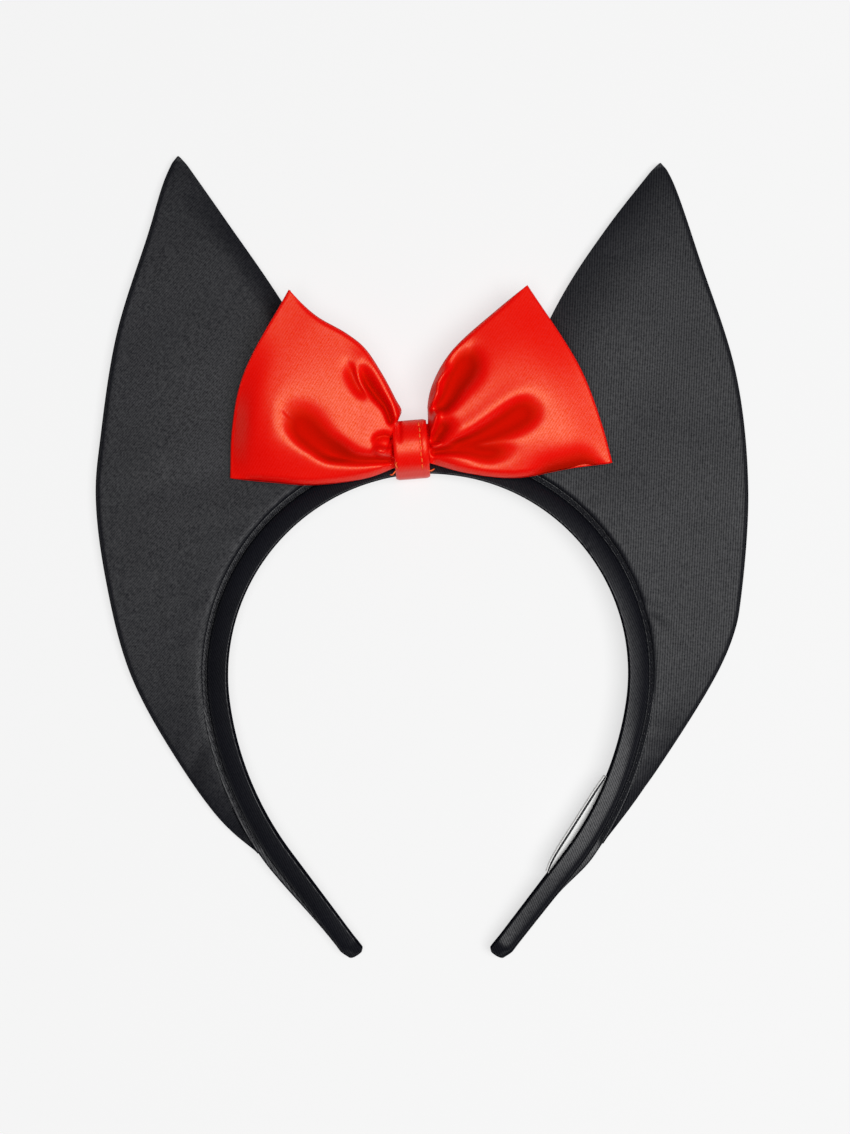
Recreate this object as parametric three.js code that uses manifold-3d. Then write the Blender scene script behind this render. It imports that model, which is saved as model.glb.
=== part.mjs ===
// Bat headband, lying on its back: a satin-covered hoop that grips the head, two padded pointed
// ears sewn into the hoop's outer seam, and a red satin bow tied round the hoop near its middle.
// Millimetres. X runs to the right, Y towards the ear tips, Z up from the surface it lies on.

import * as THREE from 'three';
import Module from 'manifold-3d';

const { clamp, degToRad, lerp, smoothstep } = THREE.MathUtils;

// Hoop: the line along the inside of the band, alike on both sides of its middle
const HOOP_X = 2.5;
const HOOP_Y = 26.9;
const CROWN_RADIUS = 64.3;
const CROWN_TURN = degToRad(98);
const SIDE_RADIUS = 104;
const SIDE_TURN = degToRad(29);
const ARM_STRAIGHT = 39.5;
const HOOP_LEAN = 0.006;
const CROWN_LENGTH = CROWN_RADIUS * CROWN_TURN;
const SIDE_LENGTH = SIDE_RADIUS * SIDE_TURN;
const HOOP_HALF = CROWN_LENGTH + SIDE_LENGTH + ARM_STRAIGHT;

// Band: the covered hoop, its seam flange and the slot that grips each ear
const BAND_THICKNESS = 6.4;
const TIP_THICKNESS = 5.7;
const BAND_DEPTH = 11;
const BAND_STATIONS = 96;
const BAND_ROUND = 1.4;
const BAND_CROWN = 0.3;
const TIP_DEPTH = 8;
const TIP_TAPER_LENGTH = 45;
const TIP_CRIMP = 0.78;
const TIP_CRIMP_LENGTH = 5;
const SEAM_HEIGHT = 5;
const TIP_SEAM_HEIGHT = 4;
const FLANGE_REACH = 2;
const FLANGE_THICKNESS = 3.6;
const FLANGE_TIP_THICKNESS = 1.8;
const FLANGE_LEFTOVER = 0.2;
const FLANGE_SHOULDER = 0.75;
const FLANGE_FADE_START = 158;
const FLANGE_FADE_END = { left: 196, right: 176 };
const SLOT_WIDTH = 1.6;
const SLOT_DEPTH = 1.8;
const GAP = 0.3;

// Knot: the strip wrapped round the band and the bow's neck, a little left of the hoop's middle
const KNOT_DISTANCE = -5.2;
const KNOT_WIDTH = 10.9;
const KNOT_WALL = 1;
const KNOT_ROUND = 2.4;
const KNOT_CURVE_STEPS = 4;
const CORNER_SHARE = 0.45;
const KNOT_PINCH_BACK = 1.5;
const KNOT_PINCH_FRONT = 0.6;
const KNOT_PINCH_SPAN = { full: 7.3, none: 12.2 };

// Corners of the strip's middle line, as distances out from the hoop line and up from the floor
const KNOT_CORNERS = [
  { out: -1.1, up: 0.6 },
  { out: 6.9, up: 0.6 },
  { out: 8.0, up: 3.0 },
  { out: 16.4, up: 11.6 },
  { out: 16.2, up: 16.2 },
  { out: 11.2, up: 19.4 },
  { out: 6.0, up: 19.2 },
  { out: 1.6, up: 16.6 },
  { out: -1.1, up: 9.5 },
];

// Ears: padded panels with a thin sewn rim, from the lower point on the arm up to the tip
const EAR_PADDING = 7;
const EAR_RIM = 1;
const EAR_EDGE_HEIGHT = 2.6;
const EAR_FLOOR_CLEARANCE = 0.3;
const EAR_SLENDERNESS = 0.15;
const EAR_TONGUE = 1.5;
const EAR_RIM_SHARE = 0.3;
const EAR_TIP_WIDTH = 1.8;
const EAR_ROWS = 28;
const EAR_BASE_SHARE = 0.68;
const EAR_COLUMNS = [0, 0.05, 0.14, 0.3, 0.5, 0.7, 0.86, 0.95, 1];

// Each ear runs from low to high along the hoop. Its two edges are listed up to the tip.
const EARS = {
  ear_left: {
    low: -157,
    high: -15.5,
    tip: { x: -78.1, y: 128.8 },
    outer: [
      { x: -62.8, y: -86.2 },
      { x: -77.0, y: -67.2 },
      { x: -93.3, y: -37.6 },
      { x: -101.5, y: -6.0 },
      { x: -104.5, y: 20.0 },
      { x: -102.9, y: 39.2 },
      { x: -97.7, y: 72.0 },
      { x: -87.5, y: 104.5 },
      { x: -82.6, y: 120.8 },
    ],
    inner: [
      { x: -45.0, y: 82.4 },
      { x: -62.6, y: 108.0 },
    ],
  },
  ear_right: {
    low: 153.5,
    high: 17,
    tip: { x: 76.6, y: 126.6 },
    outer: [
      { x: 70.2, y: -76.0 },
      { x: 94.6, y: -37.6 },
      { x: 100.6, y: -23.2 },
      { x: 102.4, y: -13.6 },
      { x: 104.8, y: 21.6 },
      { x: 101.0, y: 58.4 },
      { x: 89.4, y: 95.2 },
      { x: 80.9, y: 120.0 },
    ],
    inner: [
      { x: 44.0, y: 82.0 },
      { x: 58.6, y: 104.6 },
    ],
  },
};

// Bow loops: one strip folded back on itself at the outer edge, open at top and bottom
const BOW_WALL = 1.1;
const BOW_NECK_FRONT = 16.6;
const BOW_NECK_BACK = 12.4;
const BOW_EDGE_THICKNESS = 2.8;
const BOW_FRONT_ROWS = 16;
const BOW_BACK_ROWS = 12;
const BOW_COLUMNS = 20;
const BOW_FOLD_START = 0.95;
const BOW_NECK_EASE = 1.2;
const BOW_BACK_DROP = { start: 0.45, end: 0.95 };
const BOW_BACK_SAG = 1.2;
const FOLD_STEPS = 40;
const FOLD_NECK_RISE = 0.04;
const FOLD_EDGE_FADE = 0.82;
const FOLD_GROW = 0.15;
const FOLD_DIE = 0.3;

// Edges run outwards from the neck, and the outer edge from its lower corner to its upper one.
// Rises are the heights of the front at shares of the length, across from the lower edge to the
// upper one. A fold follows its path with a height, positive for a ridge and negative for a hollow,
// and falls away over a width to its upper and its lower side, narrower at its start by neck.
const BOW_LOOPS = {
  bow_loop_left: {
    side: -1,
    lower: [
      { x: -8.3, y: 29.6 },
      { x: -16.9, y: 25.2 },
      { x: -34.7, y: 22.9 },
      { x: -48.1, y: 23.9 },
      { x: -60.9, y: 25.2 },
    ],
    upper: [
      { x: -9.8, y: 41.0 },
      { x: -9.8, y: 44.6 },
      { x: -8.4, y: 49.0 },
      { x: -12.5, y: 57.9 },
      { x: -17.9, y: 65.8 },
      { x: -23.4, y: 70.2 },
      { x: -32.3, y: 75.3 },
      { x: -37.1, y: 79.3 },
      { x: -41.7, y: 84.1 },
    ],
    outer: [
      { x: -60.9, y: 25.2 },
      { x: -60.1, y: 41.0 },
      { x: -56.4, y: 57.0 },
      { x: -41.7, y: 84.1 },
    ],
    rises: [
      { along: 0, heights: [15.2, 16.4, 16.8, 16.4, 15.2] },
      { along: 0.15, heights: [17.2, 18.8, 19.8, 20.0, 18.6] },
      { along: 0.35, heights: [18.0, 19.6, 20.6, 21.2, 20.4] },
      { along: 0.6, heights: [17.6, 20.2, 21.2, 21.6, 21.0] },
      { along: 0.8, heights: [14.6, 19.4, 21.0, 21.2, 20.8] },
      { along: 0.88, heights: [13.0, 17.8, 20.2, 20.8, 20.4] },
      { along: 1, heights: [11.0, 12.4, 17.2, 20.0, 20.0] },
    ],
    folds: [
      {
        path: [
          { x: -20.0, y: 31.4 },
          { x: -26.0, y: 32.8 },
          { x: -31.0, y: 34.6 },
          { x: -35.4, y: 37.6 },
          { x: -39.2, y: 41.6 },
          { x: -46.4, y: 47.2 },
        ],
        height: -3.2,
        upper: 6.0,
        lower: 3.0,
        neck: 0.5,
      },
      {
        path: [
          { x: -8.8, y: 30.7 },
          { x: -14.0, y: 30.5 },
          { x: -20.0, y: 30.6 },
          { x: -25.0, y: 31.2 },
          { x: -35.0, y: 33.2 },
        ],
        height: -1.8,
        upper: 2.6,
        lower: 2.4,
        neck: 0.8,
      },
      {
        path: [
          { x: -8.0, y: 43.6 },
          { x: -9.0, y: 47.1 },
          { x: -11.6, y: 52.0 },
          { x: -15.0, y: 57.6 },
          { x: -22.0, y: 64.0 },
        ],
        height: 1.4,
        upper: 3.4,
        lower: 2.6,
        neck: 0.7,
      },
      {
        path: [
          { x: -9.6, y: 42.6 },
          { x: -11.3, y: 47.0 },
          { x: -14.4, y: 51.0 },
          { x: -16.9, y: 54.6 },
          { x: -18.8, y: 61.5 },
        ],
        height: -2.2,
        upper: 2.6,
        lower: 2.0,
        neck: 0.8,
      },
    ],
  },
  bow_loop_right: {
    side: 1,
    lower: [
      { x: 2.7, y: 29.8 },
      { x: 14.4, y: 26.7 },
      { x: 30.0, y: 25.2 },
      { x: 48.1, y: 28.4 },
      { x: 60.4, y: 29.9 },
    ],
    upper: [
      { x: 2.0, y: 42.2 },
      { x: 2.0, y: 45.2 },
      { x: 1.9, y: 48.0 },
      { x: 3.4, y: 54.4 },
      { x: 9.0, y: 64.3 },
      { x: 23.8, y: 78.0 },
      { x: 33.5, y: 86.0 },
    ],
    outer: [
      { x: 60.4, y: 29.9 },
      { x: 56.9, y: 42.0 },
      { x: 50.0, y: 59.7 },
      { x: 33.5, y: 86.0 },
    ],
    rises: [
      { along: 0, heights: [15.2, 16.4, 16.8, 16.4, 15.2] },
      { along: 0.15, heights: [17.2, 19.4, 21.0, 20.4, 18.0] },
      { along: 0.35, heights: [17.6, 20.4, 22.0, 21.8, 18.8] },
      { along: 0.6, heights: [18.0, 21.0, 22.2, 21.8, 19.2] },
      { along: 0.8, heights: [18.2, 20.4, 21.0, 20.4, 18.2] },
      { along: 1, heights: [15.2, 17.6, 18.4, 17.4, 15.8] },
    ],
    folds: [
      {
        path: [
          { x: 8.0, y: 35.2 },
          { x: 14.0, y: 36.6 },
          { x: 20.0, y: 38.8 },
          { x: 25.0, y: 41.4 },
          { x: 36.0, y: 48.0 },
        ],
        height: -3.0,
        upper: 3.8,
        lower: 4.6,
        neck: 0.5,
      },
      {
        path: [
          { x: 2.9, y: 33.2 },
          { x: 9.0, y: 33.8 },
          { x: 15.0, y: 33.8 },
          { x: 20.0, y: 33.0 },
          { x: 30.0, y: 34.4 },
        ],
        height: -2.2,
        upper: 2.6,
        lower: 3.0,
        neck: 0.8,
      },
      {
        path: [
          { x: 36.0, y: 23.6 },
          { x: 44.0, y: 25.0 },
          { x: 52.0, y: 26.4 },
          { x: 64.0, y: 27.6 },
        ],
        height: -3.8,
        upper: 6.2,
        lower: 4.0,
        neck: 0.8,
      },
      {
        path: [
          { x: 5.0, y: 46.2 },
          { x: 8.0, y: 50.0 },
          { x: 10.5, y: 55.0 },
          { x: 13.4, y: 60.0 },
          { x: 15.0, y: 65.5 },
        ],
        height: -3.2,
        upper: 3.4,
        lower: 5.0,
        neck: 0.6,
      },
    ],
  },
};

// Label: a ribbon on the inside of the right arm, tacked at both ends and slack between them
const LABEL_WIDTH = 8.6;
const LABEL_THICKNESS = 1;
const LABEL_BASE = 1;
const LABEL_STEPS = 14;
const LABEL_TACK = GAP + LABEL_THICKNESS / 2;
const LABEL_LINE = [
  { along: 134.5, off: LABEL_TACK },
  { along: 142, off: 1.9 },
  { along: 153, off: 2.9 },
  { along: 163, off: 2.4 },
  { along: 170.5, off: LABEL_TACK },
];

// Finishes
const BLACK_SATIN = { color: 0x17171a, roughness: 0.45, metalness: 0 };
const RED_SATIN = { color: 0xe3220f, roughness: 0.4, metalness: 0 };
const WHITE_RIBBON = { color: 0xf0f0ee, roughness: 0.5, metalness: 0 };

const wasm = await Module();
wasm.setup();

// Geometry from corner points and triangles, turned so that its faces point outwards
function closedGeometry(points, triangles) {
  const volume = triangles.reduce((sum, [a, b, c]) => {
    const normal = new THREE.Vector3().crossVectors(points[b], points[c]);
    return sum + points[a].dot(normal);
  }, 0);
  const outward = volume > 0 ? triangles : triangles.map(([a, b, c]) => [a, c, b]);
  const geometry = new THREE.BufferGeometry().setFromPoints(points);
  geometry.setIndex(outward.flat());
  geometry.computeVertexNormals();
  return geometry;
}

// Solid through closed sections, each given by its outline points in the same order
function loft(sections, contour) {
  const count = contour.length;
  const last = (sections.length - 1) * count;
  const triangles = [];
  for (let i = 0; i < last; i += count) {
    for (let j = 0; j < count; j += 1) {
      const next = (j + 1) % count;
      triangles.push([i + j, i + next, i + count + next]);
      triangles.push([i + j, i + count + next, i + count + j]);
    }
  }
  for (const [a, b, c] of THREE.ShapeUtils.triangulateShape(contour, [])) {
    triangles.push([a, c, b]);
    triangles.push([last + a, last + b, last + c]);
  }
  return closedGeometry(sections.flat(), triangles);
}

// Solid between two facing grids of points, closed round their common border
function quilt(front, back) {
  const rows = front.length - 1;
  const columns = front[0].length - 1;
  const points = [...front.flat(), ...back.flat()];
  const index = (layer, i, j) => (layer * (rows + 1) + i) * (columns + 1) + j;
  const triangles = [];
  const quad = (a, b, c, d) => triangles.push([a, b, c], [a, c, d]);
  for (let i = 0; i < rows; i += 1) {
    for (let j = 0; j < columns; j += 1) {
      quad(index(0, i, j), index(0, i + 1, j), index(0, i + 1, j + 1), index(0, i, j + 1));
      quad(index(1, i, j), index(1, i, j + 1), index(1, i + 1, j + 1), index(1, i + 1, j));
    }
    quad(index(0, i, 0), index(1, i, 0), index(1, i + 1, 0), index(0, i + 1, 0));
    quad(index(0, i + 1, columns), index(1, i + 1, columns), index(1, i, columns), index(0, i, columns));
  }
  for (let j = 0; j < columns; j += 1) {
    quad(index(0, 0, j + 1), index(1, 0, j + 1), index(1, 0, j), index(0, 0, j));
    quad(index(0, rows, j), index(1, rows, j), index(1, rows, j + 1), index(0, rows, j + 1));
  }
  return closedGeometry(points, triangles);
}

function toSolid(geometry) {
  const vertProperties = new Float32Array(geometry.attributes.position.array);
  const triVerts = new Uint32Array(geometry.index.array);
  return new wasm.Manifold(new wasm.Mesh({ numProp: 3, vertProperties, triVerts }));
}

function toGeometry(solid) {
  const mesh = solid.getMesh();
  const geometry = new THREE.BufferGeometry();
  geometry.setAttribute('position', new THREE.BufferAttribute(mesh.vertProperties, 3));
  geometry.setIndex(new THREE.BufferAttribute(mesh.triVerts, 1));
  geometry.computeVertexNormals();
  return geometry;
}

function namedMesh(name, geometry, finish) {
  const mesh = new THREE.Mesh(geometry, new THREE.MeshStandardMaterial(finish));
  mesh.name = name;
  return mesh;
}

// Curve through a list of rows with x and y, at no height
function edgeCurve(rows) {
  const points = rows.map(({ x, y }) => new THREE.Vector3(x, y, 0));
  return new THREE.CatmullRomCurve3(points, false, 'centripetal');
}

// Point at a distance along the hoop from its middle, negative to the left, moved outwards
function hoopPoint(distance, outwards, height) {
  const side = distance < 0 ? -1 : 1;
  const travelled = Math.abs(distance);
  const crown = Math.min(travelled / CROWN_RADIUS, CROWN_TURN);
  const turn = crown + clamp((travelled - CROWN_LENGTH) / SIDE_RADIUS, 0, SIDE_TURN);
  const straight = Math.max(travelled - CROWN_LENGTH - SIDE_LENGTH, 0);
  const across = CROWN_RADIUS * Math.sin(crown)
    + SIDE_RADIUS * (Math.sin(turn) - Math.sin(crown))
    + straight * Math.cos(turn);
  const drop = CROWN_RADIUS * (1 - Math.cos(crown))
    + SIDE_RADIUS * (Math.cos(crown) - Math.cos(turn))
    + straight * Math.sin(turn);
  const x = HOOP_X - HOOP_LEAN * drop + side * (across + outwards * Math.sin(turn));
  const y = HOOP_Y - drop + outwards * Math.cos(turn);
  return new THREE.Vector3(x, y, height);
}

// Band: outline of its section, as distances out from the hoop line and up from the floor.
// The knot pinches it, and its flange and depth die down towards the crimped tips.
function bandSection(distance) {
  const travelled = Math.abs(distance);
  const fromKnot = Math.abs(distance - KNOT_DISTANCE);
  const pinch = 1 - smoothstep(fromKnot, KNOT_PINCH_SPAN.full, KNOT_PINCH_SPAN.none);
  const fadeEnd = distance < 0 ? FLANGE_FADE_END.left : FLANGE_FADE_END.right;
  const fade = smoothstep(travelled, FLANGE_FADE_START, fadeEnd);
  const taper = smoothstep(travelled, HOOP_HALF - TIP_TAPER_LENGTH, HOOP_HALF);
  const crimp = lerp(1, TIP_CRIMP, smoothstep(travelled, HOOP_HALF - TIP_CRIMP_LENGTH, HOOP_HALF));
  const wide = lerp(BAND_THICKNESS, TIP_THICKNESS * crimp, taper);
  const back = KNOT_PINCH_BACK * pinch;
  const front = lerp(BAND_DEPTH, TIP_DEPTH * crimp, taper) - KNOT_PINCH_FRONT * pinch;
  const lip = FLANGE_REACH * lerp(1, FLANGE_LEFTOVER, Math.max(fade, pinch));
  const seam = lerp(SEAM_HEIGHT, TIP_SEAM_HEIGHT * crimp, fade);
  const half = lerp(FLANGE_THICKNESS, FLANGE_TIP_THICKNESS, fade) / 2;
  const shoulder = FLANGE_SHOULDER * half;
  return [
    [BAND_ROUND, back],
    [wide - BAND_ROUND, back],
    [wide, Math.min(back + BAND_ROUND, seam - half - BAND_CROWN)],
    [wide, seam - half],
    [wide + FLANGE_SHOULDER * lip, seam - half],
    [wide + lip, seam - shoulder],
    [wide + lip, seam + shoulder],
    [wide + FLANGE_SHOULDER * lip, seam + half],
    [wide, seam + half],
    [wide - BAND_CROWN, Math.max(front - BAND_ROUND, seam + half + BAND_CROWN)],
    [wide - BAND_ROUND, front - BAND_CROWN],
    [wide / 2, front],
    [BAND_ROUND, front - BAND_CROWN],
    [BAND_CROWN, front - BAND_ROUND],
    [0, (front + back) / 2],
    [BAND_CROWN, back + BAND_ROUND],
  ];
}

function bandBody() {
  const sections = [];
  for (let i = 0; i <= BAND_STATIONS; i += 1) {
    const distance = HOOP_HALF * ((2 * i) / BAND_STATIONS - 1);
    sections.push(bandSection(distance).map(([out, up]) => hoopPoint(distance, out, up)));
  }
  const contour = bandSection(HOOP_HALF).map(([out, up]) => new THREE.Vector2(out, up));
  return loft(sections, contour);
}

// Slot between the flange's two lips, along the base of one ear
function earSlot({ low, high }) {
  const floor = BAND_THICKNESS + FLANGE_REACH - SLOT_DEPTH;
  const mouth = BAND_THICKNESS + 2 * FLANGE_REACH;
  const rows = Math.round(EAR_ROWS * EAR_BASE_SHARE);
  const side = Math.sign(low);
  const corners = [
    [floor, SEAM_HEIGHT - SLOT_WIDTH / 2],
    [mouth, SEAM_HEIGHT - SLOT_WIDTH / 2],
    [mouth, SEAM_HEIGHT + SLOT_WIDTH / 2],
    [floor, SEAM_HEIGHT + SLOT_WIDTH / 2],
  ];
  const sections = [];
  for (let i = 0; i <= rows; i += 1) {
    const distance = lerp(low + side * GAP, high - side * GAP, i / rows);
    sections.push(corners.map(([out, up]) => hoopPoint(distance, out, up)));
  }
  return loft(sections, corners.map(([out, up]) => new THREE.Vector2(out, up)));
}

function makeBand() {
  const slots = Object.values(EARS).map((ear) => toSolid(earSlot(ear)));
  const slotted = slots.reduce((body, slot) => body.subtract(slot), toSolid(bandBody()));
  return namedMesh('band', toGeometry(slotted), BLACK_SATIN);
}

// Ear: rows from the lower point to the tip, each across from the sewn base or the free inner
// edge to the outer edge. The rim stays thin, and the padding swells between the edges.
function makeEar(name, ear) {
  const rootOut = BAND_THICKNESS + FLANGE_REACH + GAP;
  const tongueOut = rootOut - GAP - EAR_TONGUE;
  const side = Math.sign(ear.tip.x);
  const tip = (shift) => ({ x: ear.tip.x + shift * side * (EAR_TIP_WIDTH / 2), y: ear.tip.y });
  const foot = hoopPoint(ear.low, rootOut + EAR_RIM, 0);
  const outerEdge = edgeCurve([foot, ...ear.outer, tip(1)]);
  const innerEdge = edgeCurve([hoopPoint(ear.high, tongueOut, 0), ...ear.inner, tip(-1)]);
  const front = [];
  const back = [];
  for (let i = 0; i <= EAR_ROWS; i += 1) {
    const along = i / EAR_ROWS;
    const outer = outerEdge.getPointAt(along);
    const free = clamp((along - EAR_BASE_SHARE) / (1 - EAR_BASE_SHARE), 0, 1);
    const distance = lerp(ear.low, ear.high, Math.min(along / EAR_BASE_SHARE, 1));
    const rim = free > 0 ? innerEdge.getPointAt(free) : hoopPoint(distance, tongueOut, 0);
    const inset = Math.min(EAR_TONGUE + GAP, EAR_RIM_SHARE * rim.distanceTo(outer));
    const inwards = outer.clone().sub(rim).setLength(inset);
    const root = free > 0 ? rim.clone().add(inwards) : hoopPoint(distance, rootOut, 0);
    const width = root.distanceTo(outer);
    const swell = Math.max(Math.min(EAR_PADDING, 2 * EAR_SLENDERNESS * width) - EAR_RIM, 0) / 2;
    const rootHeight = lerp(SEAM_HEIGHT, EAR_EDGE_HEIGHT, free);
    const frontRow = [rim.clone().setZ(rootHeight + EAR_RIM / 2)];
    const backRow = [rim.clone().setZ(rootHeight - EAR_RIM / 2)];
    for (const share of EAR_COLUMNS) {
      const place = root.clone().lerp(outer, share);
      const middle = lerp(rootHeight, EAR_EDGE_HEIGHT, share);
      const half = EAR_RIM / 2 + swell * Math.sqrt(1 - (2 * share - 1) ** 4);
      frontRow.push(place.clone().setZ(middle + half));
      backRow.push(place.clone().setZ(Math.max(middle - half, EAR_FLOOR_CLEARANCE)));
    }
    front.push(frontRow);
    back.push(backRow);
  }
  return namedMesh(name, quilt(front, back), BLACK_SATIN);
}

// Height of a loop's front before its folds, at a share of its length and of its width
function frontSurface(rises) {
  const count = rises[0].heights.length;
  const shares = rises[0].heights.map((height, i) => i / (count - 1));
  const alongs = rises.map(({ along }) => along);
  const lengthwise = new THREE.CubicInterpolant(alongs, rises.flatMap(({ heights }) => heights), count);
  return (along, across) => {
    const heights = [...lengthwise.evaluate(along)];
    return new THREE.CubicInterpolant(shares, heights, 1).evaluate(across)[0];
  };
}

// Rise of a loop's folds at a place on its plan
function foldRise(folds, side, place) {
  return folds.reduce((rise, { line, height, upper, lower, neck }) => {
    const distances = line.map((point) => point.distanceTo(place));
    const nearest = distances.indexOf(Math.min(...distances));
    const travelled = nearest / FOLD_STEPS;
    const run = line[Math.min(nearest + 1, FOLD_STEPS)].clone().sub(line[Math.max(nearest - 1, 0)]);
    const gap = place.clone().sub(line[nearest]);
    const above = side * (run.x * gap.y - run.y * gap.x) > 0;
    const width = (above ? upper : lower) * lerp(neck, 1, travelled);
    const grown = smoothstep(travelled, -FOLD_GROW, FOLD_GROW);
    const strength = grown * (1 - smoothstep(travelled, 1 - FOLD_DIE, 1));
    return rise + height * strength * Math.exp(-((distances[nearest] / width) ** 2));
  }, 0);
}

// Bow loop: the strip's middle line runs out along the front, round the fold and back behind
function makeBowLoop(name, loop) {
  const lower = edgeCurve(loop.lower);
  const upper = edgeCurve(loop.upper);
  const outer = edgeCurve(loop.outer);
  const neck = edgeCurve([loop.lower[0], loop.upper[0]]);
  const surface = frontSurface(loop.rises);
  const folds = loop.folds.map((fold) => {
    const line = edgeCurve(fold.path).getSpacedPoints(FOLD_STEPS);
    return { ...fold, line };
  });
  const middleOfKnot = hoopPoint(KNOT_DISTANCE, (BOW_NECK_FRONT + BOW_NECK_BACK) / 2, 0).x;
  const neckEnd = middleOfKnot + loop.side * GAP;

  // Place on the loop's plan, blended between its four edges
  const plan = (along, across) => {
    const sides = lower.getPointAt(along).lerp(upper.getPointAt(along), across);
    const ends = neck.getPointAt(across).lerp(outer.getPointAt(across), along);
    const neckCorners = neck.getPointAt(0).lerp(neck.getPointAt(1), across);
    const outerCorners = outer.getPointAt(0).lerp(outer.getPointAt(1), across);
    return sides.add(ends).sub(neckCorners.lerp(outerCorners, along));
  };
  const frontHeight = (along, across) => {
    const fade = smoothstep(along, FOLD_EDGE_FADE, BOW_FOLD_START);
    const settle = smoothstep(along, 0, FOLD_NECK_RISE) * (1 - fade);
    return surface(along, across) + settle * foldRise(folds, loop.side, plan(along, across));
  };
  const backHeight = (along, across) => {
    const fall = smoothstep(along, BOW_BACK_DROP.start, BOW_BACK_DROP.end);
    const level = lerp(BOW_NECK_BACK, surface(1, across) - BOW_EDGE_THICKNESS, fall);
    return level - BOW_BACK_SAG * Math.sin((Math.PI * along) / BOW_FOLD_START);
  };

  const outside = [];
  const inside = [];
  const addRow = (along, outsideHeight, insideHeight, x) => {
    const outsideRow = [];
    const insideRow = [];
    for (let j = 0; j <= BOW_COLUMNS; j += 1) {
      const across = j / BOW_COLUMNS;
      const place = plan(along, across);
      if (x !== undefined) place.x = x;
      outsideRow.push(place.clone().setZ(outsideHeight(along, across)));
      insideRow.push(place.clone().setZ(insideHeight(along, across)));
    }
    outside.push(outsideRow);
    inside.push(insideRow);
  };
  const frontInside = (along, across) => frontHeight(along, across) - BOW_WALL;
  const backInside = (along, across) => backHeight(along, across) + BOW_WALL;
  const noseHeight = (along, across) => surface(1, across) - BOW_EDGE_THICKNESS / 2;

  addRow(0, frontHeight, frontInside, neckEnd);
  for (let i = 0; i <= BOW_FRONT_ROWS; i += 1) {
    const along = BOW_FOLD_START * (i / BOW_FRONT_ROWS) ** BOW_NECK_EASE;
    addRow(along, frontHeight, frontInside);
  }
  addRow(1, noseHeight, noseHeight);
  inside[inside.length - 1].forEach((point, j) => {
    point.lerp(plan(BOW_FOLD_START, j / BOW_COLUMNS).setZ(point.z), 0.5);
  });
  for (let i = BOW_BACK_ROWS; i >= 0; i -= 1) {
    addRow(BOW_FOLD_START * (i / BOW_BACK_ROWS) ** BOW_NECK_EASE, backHeight, backInside);
  }
  addRow(0, backHeight, backInside, neckEnd);
  return namedMesh(name, quilt(outside, inside), RED_SATIN);
}

// Corners of a closed outline, moved along its own plane by a distance to the outside
function offsetCorners(corners, distance) {
  const count = corners.length;
  const normals = corners.map((corner, i) => {
    const next = corners[(i + 1) % count];
    return new THREE.Vector2(next.up - corner.up, corner.out - next.out).normalize();
  });
  return corners.map((corner, i) => {
    const before = normals[(i + count - 1) % count];
    const sum = before.clone().add(normals[i]);
    const reach = (2 * distance) / sum.lengthSq();
    return new THREE.Vector2(corner.out, corner.up).addScaledVector(sum, reach);
  });
}

// Closed outline with its corners rounded off
function roundedOutline(corners, radius, Outline) {
  const outline = new Outline();
  corners.forEach((corner, i) => {
    const before = corners[(i + corners.length - 1) % corners.length];
    const after = corners[(i + 1) % corners.length];
    const cut = (end) => Math.min(radius, CORNER_SHARE * corner.distanceTo(end));
    const enter = corner.clone().add(before.clone().sub(corner).setLength(cut(before)));
    const leave = corner.clone().add(after.clone().sub(corner).setLength(cut(after)));
    if (i === 0) outline.moveTo(enter.x, enter.y);
    else outline.lineTo(enter.x, enter.y);
    outline.quadraticCurveTo(corner.x, corner.y, leave.x, leave.y);
  });
  outline.closePath();
  return outline;
}

function makeKnot() {
  const half = KNOT_WALL / 2;
  const shape = roundedOutline(offsetCorners(KNOT_CORNERS, half), KNOT_ROUND + half, THREE.Shape);
  shape.holes.push(roundedOutline(offsetCorners(KNOT_CORNERS, -half), KNOT_ROUND - half, THREE.Path));
  const options = { depth: KNOT_WIDTH, bevelEnabled: false, curveSegments: KNOT_CURVE_STEPS };
  const geometry = new THREE.ExtrudeGeometry(shape, options);
  geometry.translate(0, 0, -KNOT_WIDTH / 2);
  const out = new THREE.Vector3(0, 1, 0);
  const up = new THREE.Vector3(0, 0, 1);
  const across = new THREE.Vector3(1, 0, 0);
  geometry.applyMatrix4(new THREE.Matrix4().makeBasis(out, up, across));
  const mesh = namedMesh('bow_knot', geometry, RED_SATIN);
  mesh.position.copy(hoopPoint(KNOT_DISTANCE, 0, 0));
  mesh.rotation.z = -KNOT_DISTANCE / CROWN_RADIUS;
  return mesh;
}

function makeLabel() {
  const line = new THREE.CatmullRomCurve3(LABEL_LINE.map(({ along, off }) => hoopPoint(along, -off, 0)));
  const sides = [[], []];
  for (let i = 0; i <= LABEL_STEPS; i += 1) {
    const point = line.getPointAt(i / LABEL_STEPS);
    const tangent = line.getTangentAt(i / LABEL_STEPS);
    const normal = new THREE.Vector2(-tangent.y, tangent.x).multiplyScalar(LABEL_THICKNESS / 2);
    sides[0].push(new THREE.Vector2(point.x + normal.x, point.y + normal.y));
    sides[1].push(new THREE.Vector2(point.x - normal.x, point.y - normal.y));
  }
  const shape = new THREE.Shape([...sides[0], ...sides[1].reverse()]);
  const geometry = new THREE.ExtrudeGeometry(shape, { depth: LABEL_WIDTH, bevelEnabled: false });
  const mesh = namedMesh('label', geometry, WHITE_RIBBON);
  mesh.position.z = LABEL_BASE;
  return mesh;
}

const headband = new THREE.Group();
headband.add(makeBand());
for (const [name, ear] of Object.entries(EARS)) headband.add(makeEar(name, ear));
for (const [name, loop] of Object.entries(BOW_LOOPS)) headband.add(makeBowLoop(name, loop));
headband.add(makeKnot(), makeLabel());

export default headband;
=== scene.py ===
# Bat headband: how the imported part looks. Sizes below are in millimetres unless they say otherwise.
import math

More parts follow.
